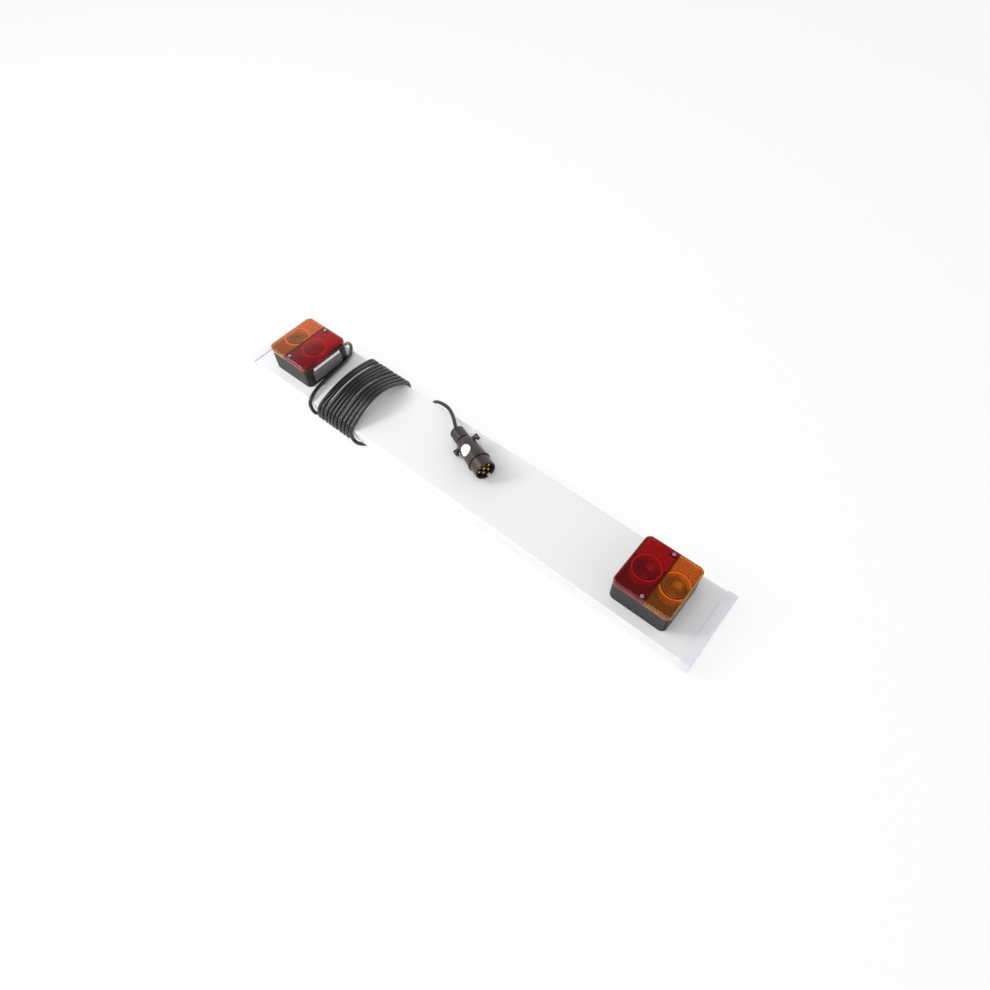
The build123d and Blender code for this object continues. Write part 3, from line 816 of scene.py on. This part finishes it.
@dataclass
class CombinationLamp:
    """One lamp: a lens of two colours on its housing, with optics, screws, bulbs and holders inside.

    Attributes:
        offset: lamp centre from the board's centre, mm.
        lens_length: size of the lens along the board, mm.
        lens_width: its size across the board, mm.
        lens_base: height of its rim, mm.
        lens_top: height of its face, mm.
        lens_wall: its thickness, mm.
        corner: radius of its corners, mm.
        edge_round: rounding of its upper edge, mm.
        division: X where red meets amber, mm.
        chambers: X limits of the two chambers, mm.
        screw_place: centre of the screw at the lower edge, mm.
        recess_radius: of the lens round a screw's head, mm.
        recess_depth: of the same, mm.
        seat_margin: face cut out round the recess, beyond its radius, mm.
        seat_lip: strip between that cut and the recess, mm.
        seat_cuts: points that round each of the seat's four sides.
        collar_radius: outer radius of the collar under each colour, mm.
        collar_wall: its thickness, mm.
        collar_depth: how deep it reaches into the chamber, mm.
        collar_ease: rounding of its foot, mm.
        collar_gap: between a collar that is cut and its chamber's wall, mm.
        collar_steps: facets round it.
        ring_pitch: spacing of the prism rings inside the collar, mm.
        ring_depth: height of a ring, mm.
        ring_width: of a ring where it leaves the lens, mm.
        ring_lean: how far its edge lies inside its outer radius, mm.
        optic_gap: between the lens's face and the optics under it, mm.
        prism_pitch: side of the small pyramid prisms round the collar, mm.
        prism_depth: their height, mm.
        prism_wall: thickness of the sheet that they are moulded in, mm.
        prism_start: Y from which they reach to the board's upper edge; flutes lie below it, mm.
        prism_margins: what the field leaves of the chamber's length and of the lens's width, mm.
        prism_clear: how far a square's centre keeps from the collar, as a share of its side.
        prism_snap: how near the collar a corner is drawn to it, as a share of the same.
        prism_gap: between the collar and a corner drawn to it, mm.
        post_gap: between the prisms and the post under a screw, mm.
        flute_pitch: spacing of the flutes, mm.
        flute_height: of a flute, mm.
        flute_wall: its thickness, mm.
        flute_shortest: shortest one that is made, mm.
        flute_side: free strip between the flutes and the chamber's walls, mm.
        flute_rim: free strip at the lens's lower edge, mm.
        flute_gap: between a flute and the collar, mm.
        flute_post_gaps: between a flute and the post under a screw, along X and Y, mm.
        post_width: side of the square post under a screw, mm.
        screw_turns: turn of a screw by its row and by its side, radians.
        panel_wall: face of the inboard wall from the lamp's centre, mm.
        panel_size: of the ribbed panel under the number-plate window, mm.
        panel_sink: its centre behind that wall's face, mm.
        panel_height: height of its centre, mm.
        rib_count: its ribs.
        rib_pitch: their spacing, mm.
        rib_size: of a rib, mm.
        rib_sink: a rib's centre behind the wall's face, mm.
        rib_ease: rounding of a rib, mm.
    """

    offset: float = 384.0
    lens_length: float = 100.0
    lens_width: float = 102.0
    lens_base: float = 40.0
    lens_top: float = 50.0
    lens_wall: float = 2.5
    corner: float = 10.0
    edge_round: float = 2.8
    division: float = 391.0
    chambers: tuple[tuple[float, float], tuple[float, float]] = ((337.0, 390.0), (392.0, 431.0))
    screw_place: tuple[float, float] = (383.0, 44.0)
    recess_radius: float = 3.5
    recess_depth: float = 1.6
    seat_margin: float = 0.2
    seat_lip: float = 0.15
    seat_cuts: int = 7
    collar_radius: float = 23.5
    collar_wall: float = 2.0
    collar_depth: float = 19.5
    collar_ease: float = 0.6
    collar_gap: float = 0.3
    collar_steps: int = 64
    ring_pitch: float = 3.9
    ring_depth: float = 0.8
    ring_width: float = 0.35
    ring_lean: float = 0.1
    optic_gap: float = 0.05
    prism_pitch: float = 4.2
    prism_depth: float = 2.2
    prism_wall: float = 0.3
    prism_start: float = -10.0
    prism_margins: tuple[float, float] = (1.0, 9.0)
    prism_clear: float = 0.2
    prism_snap: float = 0.8
    prism_gap: float = 0.1
    post_gap: float = 0.3
    flute_pitch: float = 3.3
    flute_height: float = 3.0
    flute_wall: float = 0.3
    flute_shortest: float = 2.0
    flute_side: float = 0.8
    flute_rim: float = 5.0
    flute_gap: float = 0.2
    flute_post_gaps: tuple[float, float] = (0.6, 0.4)
    post_width: float = 8.0
    screw_turns: tuple[float, float] = (0.5, 1.0)
    panel_wall: float = 49.5
    panel_size: Point = (0.5, 69.0, 24.0)
    panel_sink: float = 0.95
    panel_height: float = 17.0
    rib_count: int = 23
    rib_pitch: float = 2.9
    rib_size: Point = (0.7, 1.1, 23.0)
    rib_sink: float = 0.6
    rib_ease: float = 0.25

    @property
    def optic_top(self) -> float:
        """Height at which the optics under the lens's face start, mm."""
        return self.lens_top - self.lens_wall - self.optic_gap

    def chamber(self, colour: LensColour) -> tuple[float, float]:
        """X limits of a colour's chamber."""
        return self.chambers[0] if colour is LensColour.RED else self.chambers[1]

    def lens_shell(self, colour: LensColour) -> bmesh.types.BMesh:
        """Model one colour of the lens as a wall with rounded edges.

        Args:
            colour: which stretch of the lens.

        Returns:
            The shell, open below.
        """
        mesh = bmesh.new()
        bmesh.ops.create_grid(mesh, x_segments=1, y_segments=1, size=0.5)
        bmesh.ops.scale(mesh, vec=(self.lens_length, self.lens_width, 1), verts=mesh.verts[:])
        bmesh.ops.bevel(mesh, geom=mesh.verts[:], offset=self.corner, offset_type="OFFSET",
                        affect="VERTICES", segments=8, profile=0.5, material=-1)
        bmesh.ops.translate(mesh, vec=(self.offset, 0, self.lens_base), verts=mesh.verts[:])
        raise_faces(mesh, mesh.faces[:], (0, 0, self.lens_top - self.lens_base))
        bmesh.ops.recalc_face_normals(mesh, faces=mesh.faces[:])
        round_edges(mesh, list(top_face(mesh).edges), self.edge_round, 4)
        red = colour is LensColour.RED
        cut_away(mesh, (self.division, 0, 0), (1 if red else -1, 0, 0))
        bmesh.ops.solidify(mesh, geom=mesh.faces[:], thickness=self.lens_wall)
        if red:
            for side in (-1, 1):
                self.sink_screw(mesh, self.screw_place[0], side * self.screw_place[1])
        return mesh

    def sink_screw(self, mesh: bmesh.types.BMesh, x: float, y: float) -> None:
        """Sink a round recess for a screw's head into the lens's face.

        Args:
            mesh: the lens.
            x: place of the screw, mm.
            y: place of the screw, mm.
        """
        half = self.recess_radius + self.seat_margin
        for centre, normal in (((x - half, 0, 0), (1, 0, 0)), ((x + half, 0, 0), (1, 0, 0)),
                               ((0, y - half, 0), (0, 1, 0)), ((0, y + half, 0), (0, 1, 0))):
            level = [face for face in mesh.faces
                     if min(vert.co.z for vert in face.verts) > self.lens_top - LEVEL]
            borders = {item for face in level for item in (*face.verts, *face.edges)}
            # the distance keeps the second screw from doubling the two cuts that it shares with the first
            bmesh.ops.bisect_plane(mesh, geom=[*borders, *level], dist=ON_PLANE, plane_co=centre,
                                   plane_no=normal)
        middle = Vector((x, y, self.lens_top))
        seat = min(mesh.faces, key=lambda face: (face.calc_center_median() - middle).length)
        bmesh.ops.inset_region(mesh, faces=[seat], thickness=self.seat_lip)
        bmesh.ops.subdivide_edges(mesh, edges=list(seat.edges), cuts=self.seat_cuts, use_grid_fill=False)
        seat = min(mesh.faces, key=lambda face: (face.calc_center_median() - middle).length)
        for vert in seat.verts:
            arm = Vector((vert.co.x - x, vert.co.y - y, 0)).normalized()
            vert.co = middle + arm * self.recess_radius
        raise_faces(mesh, [seat], (0, 0, -self.recess_depth))

    def prism_free(self, centre: float, place: Vector) -> bool:
        """Whether a square of the prism field belongs to a collar, a screw post or the flutes.

        Args:
            centre: X of the collar's axis, mm.
            place: centre of the square, mm.

        Returns:
            True where no prism stands.
        """
        wall = self.collar_radius + self.prism_pitch * self.prism_clear
        on_collar = Vector((place.x - centre, place.y)).length < wall
        reach = self.post_width / 2 + self.prism_pitch / 2 + self.post_gap
        offset = Vector((abs(place.x - self.screw_place[0]), abs(abs(place.y) - self.screw_place[1])))
        return on_collar or max(offset) < reach or place.y < self.prism_start

    def prisms(self, colour: LensColour) -> bmesh.types.BMesh:
        """Model the field of small pyramid prisms round the collar, under the lens's face.

        Args:
            colour: which stretch of the lens.

        Returns:
            The field, a thin sheet with a pyramid in each of its squares.
        """
        left, right = self.chamber(colour)
        pitch = self.prism_pitch
        columns = int((right - left - self.prism_margins[0]) / pitch)
        rows = int((self.lens_width - self.prism_margins[1]) / pitch)
        mesh = bmesh.new()
        bmesh.ops.create_grid(mesh, x_segments=columns, y_segments=rows, size=0.5)
        bmesh.ops.scale(mesh, vec=(columns * pitch, rows * pitch, 1), verts=mesh.verts[:])
        middle = ((left + right) / 2, 0, self.optic_top)
        bmesh.ops.translate(mesh, vec=middle, verts=mesh.verts[:])
        taken = [face for face in mesh.faces if self.prism_free(middle[0], face.calc_center_median())]
        bmesh.ops.delete(mesh, geom=taken, context="FACES")
        # the squares at the collar end at its wall
        for vert in mesh.verts:
            arm = Vector((vert.co.x - middle[0], vert.co.y))
            if vert.is_boundary and arm.length < self.collar_radius + pitch * self.prism_snap:
                arm = arm.normalized() * (self.collar_radius + self.prism_gap)
                vert.co.x, vert.co.y = middle[0] + arm.x, arm.y
        tips = bmesh.ops.poke(mesh, faces=mesh.faces[:])["verts"]
        bmesh.ops.translate(mesh, vec=(0, 0, -self.prism_depth), verts=tips)
        mesh.normal_update()
        bmesh.ops.solidify(mesh, geom=mesh.faces[:], thickness=self.prism_wall)
        return mesh

    def flutes(self, colour: LensColour) -> bmesh.types.BMesh:
        """Model the upright flutes between the collar and the board's lower edge.

        Args:
            colour: which stretch of the lens.

        Returns:
            The flutes, thin plates under the lens's face.
        """
        left, right = self.chamber(colour)
        middle = (left + right) / 2
        rim = self.lens_width / 2 - self.flute_rim
        post = self.screw_place[1] - self.post_width / 2 - self.flute_post_gaps[1]
        count = int(((right - left) / 2 - self.flute_side) / self.flute_pitch)
        mesh = bmesh.new()
        for number in range(-count, count + 1):
            offset = number * self.flute_pitch
            collar = max((self.collar_radius + self.flute_gap) ** 2 - offset ** 2, 0.0) ** 0.5
            to_screw = abs(middle + offset - self.screw_place[0])
            by_post = to_screw < self.post_width / 2 + self.flute_post_gaps[0]
            near = -post if by_post else -rim
            far = min(self.prism_start, -collar)
            if far - near > self.flute_shortest:
                join(mesh, block((self.flute_wall, far - near, self.flute_height),
                                 (middle + offset, (near + far) / 2, self.optic_top - self.flute_height / 2)))
        return mesh

    def collar(self, colour: LensColour) -> bmesh.types.BMesh:
        """Model the collar and the rings inside it, with painted shade marked on the collar's inner wall.

        Args:
            colour: which stretch of the lens.

        Returns:
            The collar, cut to fit its chamber.
        """
        left, right = self.chamber(colour)
        top = self.optic_top
        outer, inner = self.collar_radius, self.collar_radius - self.collar_wall
        foot, ease = top - self.collar_depth, self.collar_ease
        mesh = spun(((outer, top), (outer, foot + ease), (outer - ease, foot), (inner + ease, foot),
                     (inner, foot + ease), (inner, top)), self.collar_steps, close=True)
        # painted shade: 1 on the inner wall below the lens's face, so the colour darkens from the rim down to
        # the foot
        shade = mesh.verts.layers.float.new(PAINTED_SHADE)
        for vert in mesh.verts:
            inside = vert.co.xy.length < (inner + outer) / 2 and vert.co.z < top - LEVEL
            vert[shade] = 1.0 if inside else 0.0
        ring = inner - self.ring_pitch
        while ring > self.ring_pitch:
            join(mesh, spun(((ring, top), (ring - self.ring_lean, top - self.ring_depth),
                             (ring - self.ring_width, top)), self.collar_steps, close=True))
            ring -= self.ring_pitch
        bmesh.ops.translate(mesh, vec=((left + right) / 2, 0, 0), verts=mesh.verts[:])
        for limit, sign in ((left + self.collar_gap, -1), (right - self.collar_gap, 1)):
            cut_away(mesh, (limit, 0, 0), (sign, 0, 0))
            fill_holes(mesh)
        return mesh

    def build_lenses(self, side: Side, finishes: Finishes) -> None:
        """Build both colours of one lens with their optics.

        Args:
            side: which lamp.
            finishes: the board's finishes.
        """
        for colour in LensColour:
            slot = f"{colour.value}_acrylic"
            clear, thick, prismatic = (getattr(finishes, slot + kind) for kind in ("", "_collar", "_prism"))
            left = side is Side.LEFT
            shell = publish(self.lens_shell(colour), f"{colour.value}_lens_shell_{side.word}", clear,
                            (f"{colour.value}_lens_{side.word}",), mirrored=left, sharp=40.0)
            # clear acrylic lets the lamps' light fall on the optics under it
            shell.visible_shadow = False
            publish(self.collar(colour), f"{colour.value}_collar_{side.word}", thick,
                    mirrored=left, sharp=24.0)
            field = self.prisms(colour)
            join(field, self.flutes(colour))
            publish(field, f"{colour.value}_prisms_{side.word}", prismatic, mirrored=left, sharp=24.0)

    def build_inner(self, finishes: Finishes) -> None:
        """Build the screws, bulbs and holders of both lamps.

        Args:
            finishes: the board's finishes.
        """
        screw, bulb = LensScrew(), Bulb()
        screws, glasses, caps, holders = (bmesh.new() for _ in range(4))
        seat = self.lens_top - self.recess_depth
        x, y = self.screw_place
        for side in Side:
            for row in (-1, 1):
                turn = self.screw_turns[0] * row + self.screw_turns[1] * side.value
                place = Matrix.Translation((side.value * x, row * y, seat))
                join(screws, screw.model(), place @ Matrix.Rotation(turn, 4, "Z"))
            for left, right in self.chambers:
                middle = side.value * (left + right) / 2
                place = bulb.along(middle)
                join(glasses, spun(bulb.glass, bulb.facets), place)
                join(caps, spun(bulb.cap, bulb.facets), place)
                join(holders, spun(bulb.holder, bulb.facets, close=True), place)
                join(holders, bulb.foot(middle))
        publish(screws, "lens_screw_heads", finishes.zinc_steel, ("lens_screws",))
        envelopes = publish(glasses, "bulb_envelopes", finishes.bulb_glass, ("bulb_glasses",))
        envelopes.visible_shadow = False
        publish(caps, "bulb_caps", finishes.pin_brass)
        publish(holders, "bulb_sockets", finishes.holder_plastic, ("bulb_holders",))

    def build_panel(self, side: Side, finishes: Finishes) -> None:
        """Build the ribbed panel under the number-plate window.

        Args:
            side: which lamp.
            finishes: the board's finishes.
        """
        panel = bmesh.new()
        wall = self.offset - self.panel_wall
        join(panel, block(self.panel_size, (wall + self.panel_sink, 0, self.panel_height)))
        for rib in range(self.rib_count):
            y = (rib - (self.rib_count - 1) / 2) * self.rib_pitch
            join(panel, block(self.rib_size, (wall + self.rib_sink, y, self.panel_height), self.rib_ease, 2))
        publish(panel, f"ribbed_panel_{side.word}", finishes.ribbed_styrene,
                mirrored=side is Side.LEFT)

    def build(self, finishes: Finishes) -> None:
        """Build both lamps.

        Args:
            finishes: the board's finishes.
        """
        for side in Side:
            self.build_lenses(side, finishes)
            self.build_panel(side, finishes)
        self.build_inner(finishes)


# Plug

@dataclass
class Plug:
    """The cable's plug; lengths run along its axis from the back of its gland nut.

    Attributes:
        back: centre of the gland nut's back, mm.
        axis: direction from the nut to the nose.
        up: direction of the plug's top before it is rolled.
        roll: turn about its axis that lifts the far ear, degrees.
        nut_length: of the gland nut, mm.
        nut_radius: to its corners, mm.
        nut_flats: number of its flats.
        nut_corner: rounding between the flats, mm.
        nut_chamfer: rounding of its back, mm.
        nut_front: rounding of its front, mm.
        nut_panel: smallest area of a flat that gets a sunk panel, square mm.
        panel_border: frame round that panel, mm.
        panel_depth: of the panel, mm.
        seal: outline of the cable's seal at the nut's back, radius and length, mm.
        shoulder: outline from the nut to the grip, in the same way, mm.
        grip: outline of the grip, mm.
        waist: radius between the grip and the stop ring, mm.
        waist_start: where that begins, mm.
        ring_start: back of the stop ring, mm.
        ring_radius: of the stop ring, mm.
        ring_width: along the plug, mm.
        ring_ease: rounding of its edges, mm.
        ring_front: length of the rounding at its front, mm.
        ring_foot: length of the slope from there to the nose, mm.
        length: of the whole plug, mm.
        nose_radius: outside of the nose, mm.
        cavity_radius: inside of the nose, mm.
        nose_middle: where a ring of edges halves the nose's long faces, mm.
        nose_ease: rounding of the nose's mouth, mm.
        nose_lead: length of that rounding outside, mm.
        key_start: back of the key slot, mm.
        key_share: half the slot's width as a share of its distance from the axis.
        insert_face: front of the contact insert, mm.
        insert_back: back of the same, mm.
        insert_radius: of the insert, mm.
        insert_rim: inside of the rim round its face, mm.
        insert_floor: face within that rim, below its top, mm.
        insert_ease: rounding of the rim, mm.
        insert_slope: how far the rim's inner wall leans, mm.
        pin_circle: radius of the ring of pins, mm.
        pin_count: pins round the middle one.
        pin_radius: of a pin, mm.
        pin_reach: pins in front of the insert, mm.
        pin_slot: width of the slot in a pin's tip, mm.
        pin_foot: how deep a pin stands in the insert, mm.
        pin_split: start of its slot in front of the insert, mm.
        pin_core: what its foot is slimmer by, mm.
        pin_lap: how far its sprung halves wrap the foot, mm.
        pin_dome: share of its radius and distance from its tip, for each point of the tip, mm.
        pin_ring: outline of the raised ring round a pin, radius and height over the insert's face, mm.
        pin_turn: turn of each pin's slot from the last, radians.
        ear_reach: locking ears from the axis, mm.
        ear_root: where they start inside the body, mm.
        ear_place: middle of the ears, mm.
        ear_arm: an ear's arm across and along the plug, mm.
        ear_back: middle of the arm behind the ear's, mm.
        ear_hook: size of its hooked end, mm.
        ear_eases: rounding of the arm and of the hook, mm.
        label_place: centre of the round label, mm.
        label_turn: its turn from the top to the near side, degrees.
        label_radius: of the label, mm.
        label_cone: radius and place of the two ends of the cone under it, mm.
        label_lift: of the label over that cone, mm.
        label_wall: its thickness, mm.
        label_rings: rings of its mesh.
    """

    back: Point = (-45.5, 36.8, 13.7189)
    axis: Point = (0.928819, -0.360265, 0.086630)
    up: Point = (-0.080767, 0.031327, 0.996241)
    roll: float = 22.0
    nut_length: float = 26.7
    nut_radius: float = 13.4
    nut_flats: int = 14
    nut_corner: float = 0.5
    nut_chamfer: float = 2.6
    nut_front: float = 0.7
    nut_panel: float = 40.0
    panel_border: float = 1.0
    panel_depth: float = 0.7
    seal: Outline = ((3.45, -1.6), (4.5, -1.5), (5.4, -0.6), (5.9, 0.4), (3.45, 0.4))
    shoulder: Outline = ((0, 26.5), (8.4, 26.5), (8.4, 27.7), (10.4, 27.7), (11.2, 28.1), (13.4, 29.3),
                         (15.0, 31.2), (15.9, 33.4))
    grip: Outline = ((16.6, 36.4), (17.6, 51.0), (18.6, 66.6), (19.4, 79.4), (19.5, 81.0))
    waist: float = 19.0
    waist_start: float = 81.5
    ring_start: float = 82.0
    ring_radius: float = 20.6
    ring_width: float = 3.0
    ring_ease: float = 0.4
    ring_front: float = 0.5
    ring_foot: float = 0.1
    length: float = 107.0
    nose_radius: float = 18.4
    cavity_radius: float = 16.2
    nose_middle: float = 93.0
    nose_ease: float = 0.5
    nose_lead: float = 0.6
    key_start: float = 101.0
    key_share: float = 0.17
    insert_face: float = 87.0
    insert_back: float = 75.0
    insert_radius: float = 16.0
    insert_rim: float = 14.0
    insert_floor: float = 0.8
    insert_ease: float = 0.6
    insert_slope: float = 0.3
    pin_circle: float = 10.2
    pin_count: int = 6
    pin_radius: float = 2.5
    pin_reach: float = 15.0
    pin_slot: float = 0.9
    pin_foot: float = 0.7
    pin_split: float = 6.0
    pin_core: float = 0.1
    pin_lap: float = 0.2
    pin_dome: Outline = ((1.0, 1.4), (0.86, 0.5), (0.5, 0.0))
    pin_ring: Outline = ((2.6, -1.0), (2.6, 0.0), (2.8, 0.2), (3.5, 0.0), (3.7, -1.0))
    pin_turn: float = 0.6
    ear_reach: float = 26.0
    ear_root: float = 13.0
    ear_place: float = 38.0
    ear_arm: tuple[float, float] = (8.0, 5.5)
    ear_back: float = 1.75
    ear_hook: Point = (6.0, 9.0, 9.0)
    ear_eases: tuple[float, float] = (0.7, 0.9)
    label_place: float = 58.5
    label_turn: float = 21.0
    label_radius: float = 10.8
    label_cone: Outline = ((16.6, 36.0), (19.5, 81.0))
    label_lift: float = 0.4
    label_wall: float = 0.3
    label_rings: int = 6

    def place(self) -> Matrix:
        """Transform from the plug's own frame to the board's, mm."""
        axis = Vector(self.axis).normalized()
        upright = (Vector(self.up) - axis * axis.dot(Vector(self.up))).normalized()
        up = Matrix.Rotation(radians(self.roll), 3, axis) @ upright
        turn = Matrix((up.cross(axis), up, axis)).transposed().to_4x4()
        return Matrix.Translation(self.back) @ turn

    def body(self) -> bmesh.types.BMesh:
        """Model the shoulder, grip, stop ring, open nose, key slot and ears."""
        key, end, ring = self.key_start, self.length, self.ring_start
        nose, cavity, ring_radius = self.nose_radius, self.cavity_radius, self.ring_radius
        mouth, ease, front = self.nose_ease, self.ring_ease, ring + self.ring_width
        mesh = spun((*self.shoulder, *self.grip, (self.waist, self.waist_start), (self.waist, ring),
                     (ring_radius - ease, ring), (ring_radius, ring + ease),
                     (ring_radius, front - self.ring_front),
                     (ring_radius - ease, front), (nose, front + self.ring_foot), (nose, self.nose_middle),
                     (nose, key), (nose, end - self.nose_lead), (nose - mouth, end), (cavity + mouth, end),
                     (cavity, end - mouth), (cavity, key), (cavity, self.insert_back),
                     (0, self.insert_back)), steps=72)
        self.cut_key(mesh)
        arm = (self.ear_reach - self.ear_root, *self.ear_arm)
        for side in (-1, 1):
            middle = (side * (self.ear_reach + self.ear_root) / 2, 0, self.ear_place - self.ear_back)
            join(mesh, block(arm, middle, self.ear_eases[0]))
            tip = (side * (self.ear_reach - self.ear_hook[0] / 2), 0, self.ear_place)
            join(mesh, block(self.ear_hook, tip, self.ear_eases[1]))
        return mesh

    def cut_key(self, mesh: bmesh.types.BMesh) -> None:
        """Cut the key slot into the lower side of the nose.

        Args:
            mesh: the plug's body, before its ears.
        """
        def in_key(face: bmesh.types.BMFace) -> bool:
            """Whether a face lies in the slot."""
            middle = face.calc_center_median()
            return middle.z > self.key_start and middle.y < 0 and abs(middle.x) < -middle.y * self.key_share

        bmesh.ops.delete(mesh, geom=[face for face in mesh.faces if in_key(face)], context="FACES")
        floor = [edge for edge in mesh.edges if edge.is_boundary
                 and all(abs(vert.co.z - self.key_start) < LEVEL for vert in edge.verts)]
        bmesh.ops.bridge_loops(mesh, edges=floor)
        fill_holes(mesh)

    def gland_nut(self) -> bmesh.types.BMesh:
        """Model the nut: flats with eased corners, a chamfered back and a rounded front."""
        mesh = bmesh.new()
        bmesh.ops.create_circle(mesh, cap_ends=True, segments=self.nut_flats, radius=self.nut_radius)
        bottom = mesh.faces[:]
        made = bmesh.ops.extrude_face_region(mesh, geom=bottom)
        bmesh.ops.translate(mesh, vec=(0, 0, self.nut_length), verts=vertices_of(made))
        bmesh.ops.recalc_face_normals(mesh, faces=mesh.faces[:])
        sides = [edge for edge in mesh.edges if abs(edge.verts[0].co.z - edge.verts[1].co.z) > LEVEL]
        round_edges(mesh, sides, self.nut_corner, 2)
        back = [edge for edge in mesh.edges if all(vert.co.z < LEVEL for vert in edge.verts)]
        front = [edge for edge in mesh.edges
                 if all(vert.co.z > self.nut_length - LEVEL for vert in edge.verts)]
        round_edges(mesh, back, self.nut_chamfer, 3)
        round_edges(mesh, front, self.nut_front, 2)
        mesh.normal_update()
        panels = [face for face in mesh.faces
                  if abs(face.normal.z) < 0.1 and face.calc_area() > self.nut_panel]
        bmesh.ops.inset_individual(mesh, faces=panels, thickness=self.panel_border, depth=-self.panel_depth)
        join(mesh, spun(self.seal, steps=32, close=True))
        return mesh

    def insert(self) -> bmesh.types.BMesh:
        """Model the contact insert with a raised ring round each pin."""
        face, back, floor = self.insert_face, self.insert_back, self.insert_face - self.insert_floor
        radius, rim, ease = self.insert_radius, self.insert_rim, self.insert_ease
        mesh = spun(((0, back), (radius, back), (radius, face - ease), (radius - ease, face), (rim, face),
                     (rim - self.insert_slope, floor), (0, floor)), steps=48)
        ring = tuple((reach, face + rise) for reach, rise in self.pin_ring)
        for centre in self.pin_places():
            join(mesh, spun(ring, steps=24, close=True), Matrix.Translation(centre))
        return mesh

    def pin_places(self) -> list[Point]:
        """Centres of the seven pins across the plug, mm."""
        steps = [2 * pi * number / self.pin_count for number in range(self.pin_count)]
        return [(0.0, 0.0, 0.0)] + [(self.pin_circle * cos(step), self.pin_circle * sin(step), 0.0)
                                    for step in steps]

    def pins(self) -> bmesh.types.BMesh:
        """Model the pins: a round foot and two sprung halves with domed tips."""
        mesh = bmesh.new()
        foot, tip = self.insert_face - self.pin_foot, self.insert_face + self.pin_reach
        split = self.insert_face + self.pin_split
        # the sprung halves wrap the foot's end, so no face of theirs lies on one of its
        radius, core, base = self.pin_radius, self.pin_radius - self.pin_core, split - self.pin_lap
        dome = [(radius * share, tip - drop) for share, drop in self.pin_dome]
        for number, centre in enumerate(self.pin_places()):
            turn = Matrix.Translation(centre) @ Matrix.Rotation(self.pin_turn * number, 4, "Z")
            join(mesh, spun(((0, foot), (core, foot), (core, split), (0, split)), steps=24), turn)
            for half in (0, pi):
                blade = spun(((0, base), (radius, base), *dome, (0, tip)), steps=24)
                cut_away(blade, (self.pin_slot / 2, 0, 0), (-1, 0, 0))
                fill_holes(blade)
                join(mesh, blade, turn @ Matrix.Rotation(half, 4, "Z"))
        return mesh

    def label(self) -> bmesh.types.BMesh:
        """Model the bare round label, bent round the grip."""
        rings = self.label_rings
        mesh = spun(tuple((self.label_radius * ring / rings, 0.0) for ring in range(rings + 1)), steps=48)
        turn = radians(90 + self.label_turn)
        (thin, start), (thick, end) = self.label_cone
        for vert in mesh.verts:
            along = self.label_place + vert.co.y
            grip = thin + (along - start) * (thick - thin) / (end - start) + self.label_lift
            angle = turn + vert.co.x / grip
            vert.co = (grip * cos(angle), grip * sin(angle), along)
        bmesh.ops.recalc_face_normals(mesh, faces=mesh.faces[:])
        mesh.normal_update()
        mesh.faces.ensure_lookup_table()
        outward = Vector((cos(turn), sin(turn), 0))
        if mesh.faces[0].normal.dot(outward) < 0:
            bmesh.ops.reverse_faces(mesh, faces=mesh.faces[:])
        bmesh.ops.solidify(mesh, geom=mesh.faces[:], thickness=self.label_wall)
        return mesh

    def build(self, finishes: Finishes) -> list[bpy.types.Object]:
        """Build every piece of the plug.

        Args:
            finishes: the board's finishes.

        Returns:
            The pieces.
        """
        place = self.place()
        plastic, brass, vinyl = finishes.plug_plastic, finishes.pin_brass, finishes.label_vinyl
        shapes = {
            "plug_shell": (self.body(), plastic, "plug_plastic", ("plug_body",), 32.0),
            "plug_nut": (self.gland_nut(), plastic, "plug_plastic", ("plug_gland_nut",), 11.0),
            "plug_contact_insert": (self.insert(), plastic, "plug_plastic", ("plug_insert",), 32.0),
            "plug_contact_pins": (self.pins(), brass, "pin_brass", ("plug_pins",), 32.0),
            "plug_label": (self.label(), vinyl, "white_pvc", (), 32.0),
        }
        pieces = []
        for name, (mesh, material, slot, replaced, sharp) in shapes.items():
            bmesh.ops.transform(mesh, matrix=place, verts=mesh.verts[:])
            pieces.append(publish(mesh, name, material, replaced, sharp=sharp))
        return pieces


def dress_nodes(finishes: Finishes) -> None:
    """Put the finishes on the CAD nodes that stay.

    Args:
        finishes: the board's finishes.
    """
    for part in frame["record"]["subparts"]:
        node = frame["nodes"][part["node"]]
        material = getattr(finishes, part["material_slot"])
        node.data.materials.clear()
        node.data.materials.append(material)


def main() -> None:
    """Build the board's pieces in order."""
    logging.basicConfig(level=logging.INFO, format="%(name)s: %(message)s")
    finishes = Finishes()
    dress_nodes(finishes)
    Studio().build()
    winding = WoundCable()
    cable = winding.build(finishes)
    CombinationLamp().build(finishes)
    Plug().build(finishes)


if __name__ == "__main__":
    main()
